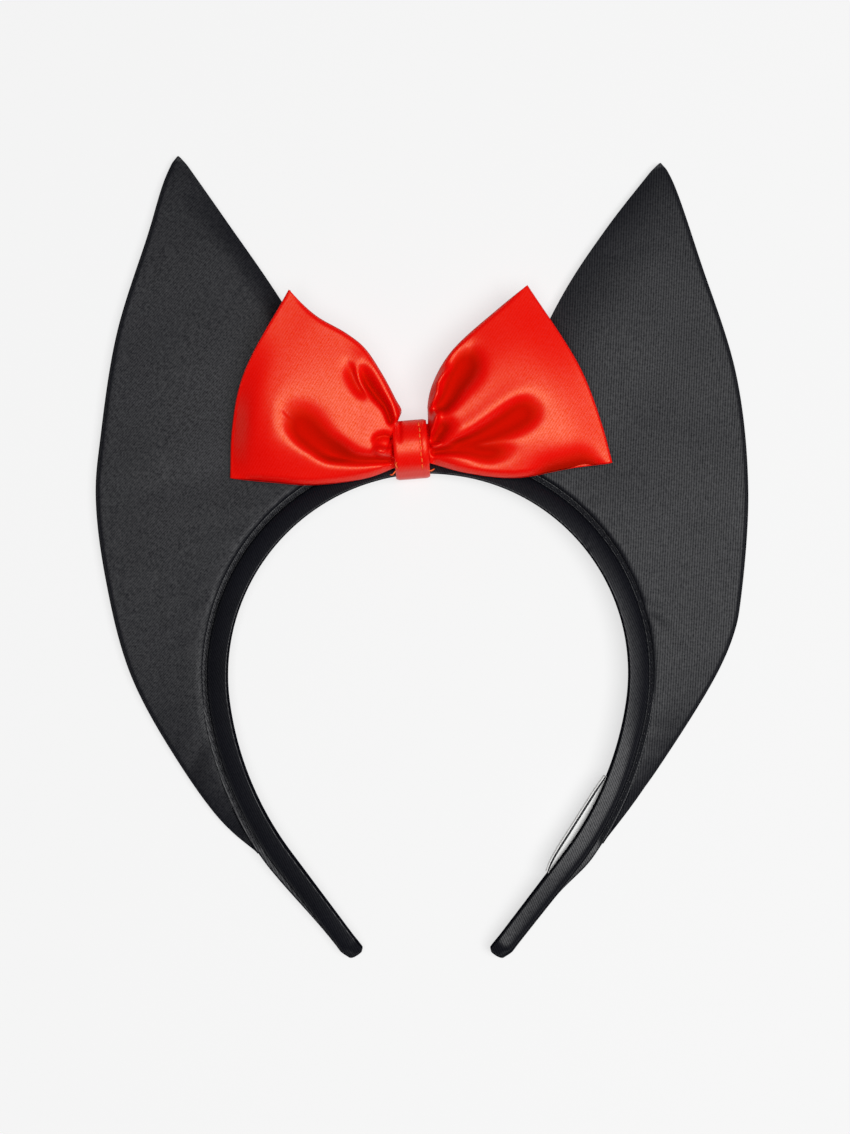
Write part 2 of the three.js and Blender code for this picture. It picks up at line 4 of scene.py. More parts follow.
import bmesh
import bpy
import numpy as np
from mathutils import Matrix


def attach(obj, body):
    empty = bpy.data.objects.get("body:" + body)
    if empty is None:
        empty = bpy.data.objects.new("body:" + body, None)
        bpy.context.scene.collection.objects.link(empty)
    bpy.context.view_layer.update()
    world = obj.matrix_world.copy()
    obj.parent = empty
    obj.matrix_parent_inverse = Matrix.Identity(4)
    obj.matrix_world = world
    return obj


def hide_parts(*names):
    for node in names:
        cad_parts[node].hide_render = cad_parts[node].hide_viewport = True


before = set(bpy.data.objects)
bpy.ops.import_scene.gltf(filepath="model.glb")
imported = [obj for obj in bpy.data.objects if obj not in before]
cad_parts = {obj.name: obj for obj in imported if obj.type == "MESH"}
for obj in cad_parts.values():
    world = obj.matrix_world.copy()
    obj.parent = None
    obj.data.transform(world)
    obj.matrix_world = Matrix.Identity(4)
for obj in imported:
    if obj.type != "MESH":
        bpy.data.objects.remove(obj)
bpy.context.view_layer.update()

# Band
# The hoop that grips the head: a stiff core, never seen, in a tube of black satin. The tube's seam
# stands out as a flange along the outer side, where the ears are sewn in, and the cover is gathered
# in at both tips. A row of black stitches runs along the flange.

MM = 0.001
TINY = 1e-9
HOOP_X = 2.5
HOOP_Y = 26.9
CROWN_RADIUS = 64.3
CROWN_TURN = math.radians(98)
SIDE_RADIUS = 104
SIDE_TURN = math.radians(29)
ARM_STRAIGHT = 39.5
HOOP_LEAN = 0.006
CROWN_LENGTH = CROWN_RADIUS * CROWN_TURN
SIDE_LENGTH = SIDE_RADIUS * SIDE_TURN
HOOP_HALF = CROWN_LENGTH + SIDE_LENGTH + ARM_STRAIGHT

BAND_THICKNESS = 6.4
BAND_DEPTH = 11
BAND_LEAN = -0.2
BAND_SHOULDER = 0.74
BAND_SHOULDER_FALL = 1.7
RIGHT_ARM_FALL = 0.3
RIGHT_ARM_SHOULDER = 0.84
RIGHT_ARM_FLAT_START = 105
RIGHT_ARM_FLAT_FULL = 145
BAND_FALL = 3.2
BAND_ROUND = 1.4
BAND_INNER_ROUND = 0.45
BAND_OUTER_ROUND = 2.2
TIP_THICKNESS = 5.7
TIP_DEPTH = 8
TIP_TAPER_LENGTH = 45
TIP_CRIMP = 0.78
TIP_CRIMP_LENGTH = 5
TIP_CAP = 1.2
TIP_CAP_SHARE = 0.999
TIP_GATHERS = 5
TIP_GATHER_DEPTH = 0.07
TIP_GATHER_LENGTH = 7

SEAM_HEIGHT = 5
TIP_SEAM_HEIGHT = 4
FLANGE_REACH = 2
FLANGE_TILT = 0.9
FLANGE_THICKNESS = 1.8
FLANGE_TIP_THICKNESS = 1.6
FLANGE_LEFTOVER = 0.2
FLANGE_ROUND = 0.7
FLANGE_FADE_START = 158
FLANGE_FADE_END_LEFT = 196
FLANGE_FADE_END_RIGHT = 176
SLOT_WIDTH = 1.1
SLOT_DEPTH = 1.8
SLOT_ROUND = 0.2
SEAM_ROUND = 0.3
GRIP_RUN = 1
EAR_SPANS = [(-157, -15.5), (17, 153.5)]

KNOT_ALONG = -5.2
KNOT_PINCH_BACK = 1.5
KNOT_PINCH_FRONT = 0.6
KNOT_PINCH_FULL = 7.3
KNOT_PINCH_NONE = 12.2

BAND_STATIONS = 540
CAP_STATIONS = 7
CORNER_STEPS = 5
CORNER_SHARE = 0.45
WRINKLE_ALONG = 55.5
WRINKLE_DEPTH = 0.5
WRINKLE_WIDTH = 1.1
WRINKLE_SLANT = 0.6

STITCH_PITCH = 3.0
STITCH_LENGTH = 1.8
STITCH_RADIUS = 0.18
STITCH_OUT = 7.2
STITCH_SAG = 2.2
STITCH_PULL = 0.1
STITCH_PULL_POWER = 8
DASH_RINGS = 6
DASH_SIDES = 6
DASH_END_POWER = 4
DASH_END_LEAST = 0.06

BLACK = (0.0028, 0.0029, 0.0042)
BLACK_LIT = (0.0074, 0.0078, 0.0120)
TONE_BLEND = 0.5
SHADED_TONE = 0.7
THREAD_RELIEF = 0.1
THREAD_LOW = 0.2
THREAD_HIGH = 0.8
THREAD_GLOSS_IOR = 1.79
GLANCE_BLEND = 0.5
GLANCE_START = 0.3
GLANCE_END = 0.72
RIB_BAND = 2 * math.pi / 20
RIB_DISTORTION = 1.2
RIB_DETAIL = 2
RIB_DETAIL_SCALE = 0.6
SLUB_SCALE = 1400
SLUB_DETAIL = 2
MOTTLE_SCALE = 45
MOTTLE_DETAIL = 3


def mix(first, second, share):
    """Value between two others."""
    return first + (second - first) * share


def ease(value, start, end):
    """Share from 0 at the start to 1 at the end, with a soft run at both."""
    share = np.clip((value - start) / (end - start), 0, 1)
    return share * share * (3 - 2 * share)


def hoop_point(along, out, up):
    """Point beside the hoop line, along it from the middle, out from its inner face and up."""
    along, out, up = np.broadcast_arrays(along, out, up)
    side = np.where(along < 0, -1.0, 1.0)
    travelled = np.abs(along)
    crown = np.minimum(travelled / CROWN_RADIUS, CROWN_TURN)
    turn = crown + np.clip((travelled - CROWN_LENGTH) / SIDE_RADIUS, 0, SIDE_TURN)
    straight = np.maximum(travelled - CROWN_LENGTH - SIDE_LENGTH, 0)
    across = CROWN_RADIUS * np.sin(crown)
    across = across + SIDE_RADIUS * (np.sin(turn) - np.sin(crown)) + straight * np.cos(turn)
    drop = CROWN_RADIUS * (1 - np.cos(crown))
    drop = drop + SIDE_RADIUS * (np.cos(crown) - np.cos(turn)) + straight * np.sin(turn)
    x = HOOP_X - HOOP_LEAN * drop + side * (across + out * np.sin(turn))
    y = HOOP_Y - drop + out * np.cos(turn)
    return np.stack([x, y, up], axis=-1)


def rounded(corners, radii, steps):
    """Closed outlines, one in each row, with every corner rounded off by a short curve."""
    def cut_towards(neighbours):
        line = neighbours - corners
        length = np.linalg.norm(line, axis=-1, keepdims=True)
        cut = np.minimum(radii[..., None], CORNER_SHARE * length)
        return corners + line * cut / np.maximum(length, TINY)

    enter = cut_towards(np.roll(corners, 1, axis=1))[:, :, None]
    leave = cut_towards(np.roll(corners, -1, axis=1))[:, :, None]
    share = np.linspace(0, 1, steps)[:, None]
    curve = (1 - share) ** 2 * enter + share ** 2 * leave
    curve = curve + 2 * share * (1 - share) * corners[:, :, None]
    return curve.reshape(len(corners), -1, 2)


def loft_faces(rings, count, closed=False, first=0):
    """Faces between rings of points, capped at both ends unless the rings close on themselves."""
    faces = []
    for i in range(rings if closed else rings - 1):
        here = first + i * count
        there = first + (i + 1) % rings * count
        for j in range(count):
            k = (j + 1) % count
            faces.append((here + j, here + k, there + k, there + j))
    if not closed:
        last = first + (rings - 1) * count
        faces.append(tuple(range(first, first + count)))
        faces.append(tuple(range(last, last + count)))
    return faces


def make_piece(name, points, faces, material):
    """Smooth closed piece of the headband, riding on its one body."""
    mesh = bpy.data.meshes.new(name)
    mesh.from_pydata((points.reshape(-1, 3) * MM).tolist(), [], faces)
    mesh.materials.append(material)
    shell = bmesh.new()
    shell.from_mesh(mesh)
    bmesh.ops.recalc_face_normals(shell, faces=shell.faces)
    shell.to_mesh(mesh)
    shell.free()
    mesh.polygons.foreach_set("use_smooth", [True] * len(mesh.polygons))
    piece = bpy.data.objects.new(name, mesh)
    bpy.context.collection.objects.link(piece)
    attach(piece, "root")
    return piece


def make_dashes(name, lines, radius, material):
    """Bits of thread, each a thin round tube along one of the lines, joined into one piece."""
    points = []
    faces = []
    angles = np.linspace(0, 2 * math.pi, DASH_SIDES, endpoint=False)
    for line in lines:
        line = np.asarray(line, dtype=float)
        run = np.gradient(line, axis=0)
        run = run / np.linalg.norm(run, axis=-1, keepdims=True)
        side = np.cross(run, [0.0, 0.0, 1.0])
        side = side / np.maximum(np.linalg.norm(side, axis=-1, keepdims=True), TINY)
        lift = np.cross(side, run)
        share = np.linspace(0, 1, len(line))
        girth = radius * np.sqrt(np.clip(1 - (2 * share - 1) ** DASH_END_POWER, DASH_END_LEAST, 1))
        ring = np.cos(angles)[:, None] * side[:, None] + np.sin(angles)[:, None] * lift[:, None]
        faces += loft_faces(len(line), DASH_SIDES, first=len(points) * len(line) * DASH_SIDES)
        points.append(line[:, None] + girth[:, None, None] * ring)
    return make_piece(name, np.array(points), faces, material)


def satin_weave_group():
    """Threads that run one way, slightly uneven, over a slow change of tone."""
    group = bpy.data.node_groups.new("satin weave", "ShaderNodeTree")
    for socket in ("Pitch", "Slant", "Grain"):
        group.interface.new_socket(socket, in_out="INPUT", socket_type="NodeSocketFloat")
    for socket in ("Threads", "Mottle"):
        group.interface.new_socket(socket, in_out="OUTPUT", socket_type="NodeSocketFloat")
    nodes = group.nodes
    link = group.links.new
    given = nodes.new("NodeGroupInput")
    result = nodes.new("NodeGroupOutput")
    place = nodes.new("ShaderNodeTexCoord")
    turn = nodes.new("ShaderNodeVectorRotate")
    turn.rotation_type = "Z_AXIS"
    link(place.outputs["Object"], turn.inputs["Vector"])
    link(given.outputs["Slant"], turn.inputs["Angle"])

    # A band of the wave texture is a twentieth of a turn long at scale 1
    scale = nodes.new("ShaderNodeMath")
    scale.operation = "DIVIDE"
    scale.inputs[0].default_value = RIB_BAND
    link(given.outputs["Pitch"], scale.inputs[1])
    ribs = nodes.new("ShaderNodeTexWave")
    ribs.bands_direction = "X"
    ribs.inputs["Distortion"].default_value = RIB_DISTORTION
    ribs.inputs["Detail"].default_value = RIB_DETAIL
    ribs.inputs["Detail Scale"].default_value = RIB_DETAIL_SCALE
    link(turn.outputs["Vector"], ribs.inputs["Vector"])
    link(scale.outputs["Value"], ribs.inputs["Scale"])
    slubs = nodes.new("ShaderNodeTexNoise")
    slubs.inputs["Scale"].default_value = SLUB_SCALE
    slubs.inputs["Detail"].default_value = SLUB_DETAIL
    link(turn.outputs["Vector"], slubs.inputs["Vector"])
    threads = nodes.new("ShaderNodeMix")
    threads.data_type = "FLOAT"
    link(given.outputs["Grain"], threads.inputs[0])
    link(ribs.outputs["Fac"], threads.inputs[2])
    link(slubs.outputs["Fac"], threads.inputs[3])
    link(threads.outputs[0], result.inputs["Threads"])

    mottle = nodes.new("ShaderNodeTexNoise")
    mottle.inputs["Scale"].default_value = MOTTLE_SCALE
    mottle.inputs["Detail"].default_value = MOTTLE_DETAIL
    link(place.outputs["Object"], mottle.inputs["Vector"])
    link(mottle.outputs["Fac"], result.inputs["Mottle"])
    return group


def cloth_material(name, dark, lit, gloss, contrast, pitch, slant, grain, rough, relief):
    """Woven cloth between two tones, with raised threads that shine along their tops, and painted shade deep
    in folds.
    """
    material = bpy.data.materials.new(name)
    material.use_nodes = True
    nodes = material.node_tree.nodes
    link = material.node_tree.links.new
    shader = nodes["Principled BSDF"]
    weave = nodes.new("ShaderNodeGroup")
    weave.node_tree = SATIN_WEAVE
    weave.inputs["Pitch"].default_value = pitch * MM
    weave.inputs["Slant"].default_value = math.radians(slant)
    weave.inputs["Grain"].default_value = grain
    tone = nodes.new("ShaderNodeMix")
    tone.data_type = "FLOAT"
    tone.inputs[0].default_value = TONE_BLEND
    link(weave.outputs["Threads"], tone.inputs[2])
    link(weave.outputs["Mottle"], tone.inputs[3])
    colour = nodes.new("ShaderNodeMix")
    colour.data_type = "RGBA"
    colour.inputs[6].default_value = (*dark, 1)
    colour.inputs[7].default_value = (*lit, 1)
    link(tone.outputs[0], colour.inputs[0])

    # Painted shade: little light reaches the bottom of a deep fold, so the fold shade attribute darkens the
    # colour there and takes away the shine
    depth = nodes.new("ShaderNodeAttribute")
    depth.attribute_name = "fold shade"
    shaded = nodes.new("ShaderNodeMix")
    shaded.data_type = "RGBA"
    shaded.inputs[7].default_value = (*[value * SHADED_TONE for value in dark], 1)
    link(depth.outputs["Fac"], shaded.inputs[0])
    link(colour.outputs[2], shaded.inputs[6])
    link(shaded.outputs[2], shader.inputs["Base Color"])
    polish = nodes.new("ShaderNodeMapRange")
    polish.inputs["To Min"].default_value = rough[0]
    polish.inputs["To Max"].default_value = rough[1]
    link(weave.outputs["Mottle"], polish.inputs["Value"])
    dulled = nodes.new("ShaderNodeMix")
    dulled.data_type = "FLOAT"
    dulled.inputs[3].default_value = 1.0
    link(depth.outputs["Fac"], dulled.inputs[0])
    link(polish.outputs["Result"], dulled.inputs[2])
    link(dulled.outputs[0], shader.inputs["Roughness"])
    bump = nodes.new("ShaderNodeBump")
    bump.inputs["Strength"].default_value = relief
    bump.inputs["Distance"].default_value = THREAD_RELIEF * MM
    link(weave.outputs["Threads"], bump.inputs["Height"])
    link(bump.outputs["Normal"], shader.inputs["Normal"])

    # Thread tops shine and the gaps between them stay dull, and a glancing view loses the shine
    shine = nodes.new("ShaderNodeMapRange")
    shine.inputs["From Min"].default_value = THREAD_LOW
    shine.inputs["From Max"].default_value = THREAD_HIGH
    shine.inputs["To Min"].default_value = gloss * (1 - contrast)
    shine.inputs["To Max"].default_value = gloss * (1 + contrast)
    link(weave.outputs["Threads"], shine.inputs["Value"])
    glance = nodes.new("ShaderNodeLayerWeight")
    glance.inputs["Blend"].default_value = GLANCE_BLEND
    hold = nodes.new("ShaderNodeMapRange")
    hold.inputs["From Min"].default_value = GLANCE_START
    hold.inputs["From Max"].default_value = GLANCE_END
    hold.inputs["To Min"].default_value = 1.0
    hold.inputs["To Max"].default_value = 0.0
    link(glance.outputs["Facing"], hold.inputs["Value"])
    level = nodes.new("ShaderNodeMath")
    level.operation = "MULTIPLY"
    link(shine.outputs["Result"], level.inputs[0])
    link(hold.outputs["Result"], level.inputs[1])
    open_share = nodes.new("ShaderNodeMath")
    open_share.operation = "SUBTRACT"
    open_share.inputs[0].default_value = 1.0
    link(depth.outputs["Fac"], open_share.inputs[1])
    reached = nodes.new("ShaderNodeMath")
    reached.operation = "MULTIPLY"
    link(level.outputs["Value"], reached.inputs[0])
    link(open_share.outputs["Value"], reached.inputs[1])
    link(reached.outputs["Value"], shader.inputs["Coat Weight"])
    shader.inputs["Coat Roughness"].default_value = (rough[0] + rough[1]) / 2
    shader.inputs["Coat IOR"].default_value = THREAD_GLOSS_IOR
    shader.inputs["Specular IOR Level"].default_value = 0.0
    return material


def band_sections(along):
    """Outlines of the band's section, out from the hoop line and up, one for each station."""
    travelled = np.abs(along)
    left = along < 0
    pinch = 1 - ease(np.abs(along - KNOT_ALONG), KNOT_PINCH_FULL, KNOT_PINCH_NONE)
    fade_end = np.where(left, FLANGE_FADE_END_LEFT, FLANGE_FADE_END_RIGHT)
    fade = ease(travelled, FLANGE_FADE_START, fade_end)
    taper = ease(travelled, HOOP_HALF - TIP_TAPER_LENGTH, HOOP_HALF)
    crimp = mix(1, TIP_CRIMP, ease(travelled, HOOP_HALF - TIP_CRIMP_LENGTH, HOOP_HALF))
    wide = mix(BAND_THICKNESS, TIP_THICKNESS * crimp, taper)
    back = KNOT_PINCH_BACK * pinch
    front = mix(BAND_DEPTH, TIP_DEPTH * crimp, taper) - KNOT_PINCH_FRONT * pinch
    stout = (front - back) / BAND_DEPTH
    flat = ease(along, RIGHT_ARM_FLAT_START, RIGHT_ARM_FLAT_FULL)
    shoulder = mix(BAND_SHOULDER, RIGHT_ARM_SHOULDER, flat)
    shoulder_fall = mix(BAND_SHOULDER_FALL, RIGHT_ARM_FALL, flat)
    lip = FLANGE_REACH * mix(1, FLANGE_LEFTOVER, np.maximum(fade, pinch))
    seam = mix(SEAM_HEIGHT, TIP_SEAM_HEIGHT * crimp, fade)
    half = mix(FLANGE_THICKNESS, FLANGE_TIP_THICKNESS, fade) / 2
    grip = np.zeros_like(along)
    for low, high in EAR_SPANS:
        grip += ease(along, low - GRIP_RUN, low + GRIP_RUN)
        grip -= ease(along, high - GRIP_RUN, high + GRIP_RUN)
    pull = STITCH_PULL * grip * np.cos(math.pi * along / STITCH_PITCH) ** STITCH_PULL_POWER
    slot = SLOT_WIDTH / 2 * grip
    floor = wide + lip - SLOT_DEPTH * grip
    edge = wide + lip
    rows = [
        (0 * wide, back, BAND_ROUND),
        (wide, back, BAND_ROUND),
        (wide, seam - half, SEAM_ROUND),
        (edge, seam - half, FLANGE_ROUND),
        (edge, seam - slot, SLOT_ROUND),
        (floor, seam - slot, 0),
        (floor, seam + slot, 0),
        (edge, seam + slot, SLOT_ROUND),
        (edge, seam + half - pull + FLANGE_TILT * grip, FLANGE_ROUND),
        (wide, seam + half - pull, SEAM_ROUND),
        (wide, front - BAND_FALL * stout, BAND_OUTER_ROUND),
        (shoulder * wide, front - shoulder_fall * stout, BAND_OUTER_ROUND),
        (BAND_LEAN * stout, front, BAND_INNER_ROUND),
    ]
    corners = np.stack([np.stack([out, up], axis=-1) for out, up, _ in rows], axis=1)
    radii = np.broadcast_to([radius for _, _, radius in rows], corners.shape[:2]).astype(float)
    outline = rounded(corners, radii, CORNER_STEPS)

    # Gathers towards the tips, then the round end of each tip
    middle = np.stack([wide / 2, (front + back) / 2], axis=-1)[:, None]
    reach = outline - middle
    angle = np.arctan2(reach[..., 1], reach[..., 0])
    gather = TIP_GATHER_DEPTH * ease(travelled, HOOP_HALF - TIP_GATHER_LENGTH, HOOP_HALF - TIP_CAP)
    reach = reach * (1 + gather[:, None] * np.sin(TIP_GATHERS * angle))[..., None]
    past = np.clip((travelled - HOOP_HALF + TIP_CAP) / TIP_CAP, 0, TIP_CAP_SHARE)
    outline = middle + reach * np.sqrt(1 - past ** 2)[:, None, None]

    # A crease across the front face where the cover is slack
    slanted = (along - WRINKLE_ALONG)[:, None] + WRINKLE_SLANT * (outline[..., 0] - BAND_THICKNESS / 2)
    dent = WRINKLE_DEPTH * np.exp(-(slanted / WRINKLE_WIDTH) ** 2)
    outline[..., 1] -= dent * ease(outline[..., 1], SEAM_HEIGHT + FLANGE_THICKNESS, BAND_DEPTH)
    return outline


SATIN_WEAVE = satin_weave_group()
band_satin = cloth_material(
    "band satin", BLACK, BLACK_LIT, gloss=0.24, contrast=0.7,
    pitch=0.7, slant=-25, grain=0.6, rough=(0.34, 0.42), relief=0.25)
black_thread = cloth_material(
    "black thread", BLACK, BLACK_LIT, gloss=0.4, contrast=0.5,
    pitch=0.4, slant=30, grain=0.5, rough=(0.4, 0.5), relief=0.3)

stations = np.linspace(-HOOP_HALF, HOOP_HALF, BAND_STATIONS + 1)
cap_stations = HOOP_HALF - np.linspace(0, TIP_CAP, CAP_STATIONS)
stations = np.unique(np.concatenate([stations, cap_stations, -cap_stations]))
sections = band_sections(stations)
band_points = hoop_point(stations[:, None], sections[..., 0], sections[..., 1])
band = make_piece("band_cover", band_points, loft_faces(*band_points.shape[:2]), band_satin)
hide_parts("band")

stitch_lines = []
stitch_top = SEAM_HEIGHT + (FLANGE_THICKNESS + FLANGE_TILT) / 2
dash_share = np.linspace(-0.5, 0.5, DASH_RINGS)
for low, high in EAR_SPANS:
    for number in range(math.ceil(low / STITCH_PITCH) + 1, math.floor(high / STITCH_PITCH)):
        middle = (number + 0.5) * STITCH_PITCH
        sag = STITCH_RADIUS * STITCH_SAG * (2 * dash_share) ** 2
        stitch_lines.append(hoop_point(middle + STITCH_LENGTH * dash_share, STITCH_OUT, stitch_top - sag))
make_dashes("band_stitches", stitch_lines, STITCH_RADIUS, black_thread)

# Ears
# Two tall pointed ears, each a pair of black satin panels sewn together round the edge over soft
# padding. The base of each is held between the lips of the band's flange and puckers a little there.

EAR_PADDING = 7
EAR_RIM = 1
EAR_EDGE_HEIGHT = 2.6
EAR_FLOOR_CLEARANCE = 0.3
EAR_SLENDERNESS = 0.15
EAR_TONGUE = 1.5
EAR_GAP = 0.3
EAR_RIM_SHARE = 0.3
EAR_TIP_WIDTH = 1.8
EAR_BASE_SHARE = 0.68
EAR_ROWS = 190
EAR_COLUMNS = 60
EAR_SEWN_REACH = 2.4
EAR_OUTER_REACH = 1.8
EAR_OVERHANG = 2.4
EAR_OVERHANG_START = 0.4
EAR_OVERHANG_REACH = 6
EAR_FREE_INSET = 0.1
EAR_INSET_FADE = 0.06
EAR_LOOSE_RUN = 0.12
EAR_REACH_SHARE = 0.8
EAR_ROUND = 0.5
EDGE_REACH_LEAST = 0.1
EAR_TIP_START = 0.988
EAR_TIP_END = 0.9999
EAR_TIP_ROWS = 12
PUCKER_PITCH = 8.5
PUCKER_DEPTH = 0.09
PUCKER_REACH = 7
PUCKER_UNEVEN = 2
PUCKER_FADE = 0.1
RIPPLE_DEPTH = 0.16
RIPPLE_LENGTH = 46
RIPPLE_SPREAD = (0.5, 1.6)
RIPPLE_COUNT = 9
CURVE_STEPS = 40

# Each ear runs along the hoop from low to high, and its edges are listed up to the tip. Its padding
# rises over the free reach from its free inner edge, and its seed sets its ripples. A dent is a soft
# hollow at a place, turned by an angle, with its half length, half width and depth.
EARS = {
    "ear_left": {
        "low": -157,
        "high": -15.5,
        "tip": (-78.1, 128.8),
        "outer": [
            (-62.8, -86.2), (-77.0, -67.2), (-93.3, -37.6), (-101.5, -6.0), (-104.5, 20.0),
            (-102.9, 39.2), (-97.7, 72.0), (-87.5, 104.5), (-82.6, 120.8),
        ],
        "inner": [(-45.0, 82.4), (-62.6, 108.0)],
        "free_reach": 13,
        "seed": 3,
        "dents": [
            {"x": -76, "y": 24, "turn": 10, "long": 22, "wide": 7, "deep": 0.45},
            {"x": -76, "y": -9, "turn": -8, "long": 14, "wide": 5, "deep": 0.4},
            {"x": -70, "y": -60, "turn": 62, "long": 13, "wide": 3, "deep": 0.55},
        ],
    },
    "ear_right": {
        "low": 153.5,
        "high": 17,
        "tip": (76.6, 126.6),
        "outer": [
            (70.2, -76.0), (94.6, -37.6), (100.6, -23.2), (102.4, -13.6), (104.8, 21.6),
            (101.0, 58.4), (89.4, 95.2), (80.9, 120.0),
        ],
        "inner": [(44.0, 82.0), (58.6, 104.6)],
        "free_reach": 28,
        "seed": 13,
        "dents": [
            {"x": 76, "y": -17.5, "turn": -38, "long": 7, "wide": 2.2, "deep": 0.55},
            {"x": 72, "y": 55, "turn": 60, "long": 26, "wide": 8, "deep": 0.3},
        ],
    },
}


def smooth_line(points, shares):
    """Places at shares of the length of a smooth curve through a few points."""
    points = np.asarray(points, dtype=float)
    ends = np.vstack([2 * points[0] - points[1], points, 2 * points[-1] - points[-2]])
    line = []
    for i in range(len(points) - 1):
        four = ends[i:i + 4]
        steps = np.sqrt(np.linalg.norm(np.diff(four, axis=0), axis=1))
        knots = np.concatenate([[0], np.cumsum(steps)])
        place = np.linspace(knots[1], knots[2], CURVE_STEPS, endpoint=False)[:, None]
        level = [np.broadcast_to(point, (CURVE_STEPS, points.shape[1])) for point in four]
        for span in (1, 2, 3):
            for k in range(4 - span):
                start = k if span < 3 else 1
                end = k + span if span < 3 else 2
                share = (place - knots[start]) / (knots[end] - knots[start])
                level[k] = mix(level[k], level[k + 1], share)
        line.append(level[0])
    line = np.vstack(line + [points[-1:]])
    run = np.concatenate([[0], np.cumsum(np.linalg.norm(np.diff(line, axis=0), axis=1))])
    return np.stack([np.interp(shares, run / run[-1], line[:, k]) for k in range(points.shape[1])], axis=-1)


def ripple(x, y, seed):
    """Slow uneven waves of a padded face, alike on every run."""
    draw = np.random.default_rng(seed)
    height = np.zeros_like(x)
    for _ in range(RIPPLE_COUNT):
        heading = draw.uniform(0, 2 * math.pi)
        length = RIPPLE_LENGTH * draw.uniform(*RIPPLE_SPREAD)
        start = draw.uniform(0, 2 * math.pi)
        wave = np.cos(heading) * x + np.sin(heading) * y
        height += np.sin(2 * math.pi * wave / length + start) / math.sqrt(RIPPLE_COUNT)
    return height


def dent_depth(dents, x, y):
    """Depth of the hollows in a padded face."""
    depth = np.zeros_like(x)
    for dent in dents:
        turn = math.radians(dent["turn"])
        right = x - dent["x"]
        above = y - dent["y"]
        long = (right * math.cos(turn) + above * math.sin(turn)) / dent["long"]
        wide = (above * math.cos(turn) - right * math.sin(turn)) / dent["wide"]
        depth += dent["deep"] * np.exp(-long ** 2 - wide ** 2)
    return depth


def edge_rise(distance, reach, power):
    """Share of the full padding at a distance from an edge, rounder there with a lower power."""
    share = np.clip(distance / np.maximum(reach, EDGE_REACH_LEAST), 0, 1)
    return (1 - (1 - share) ** 2) ** power


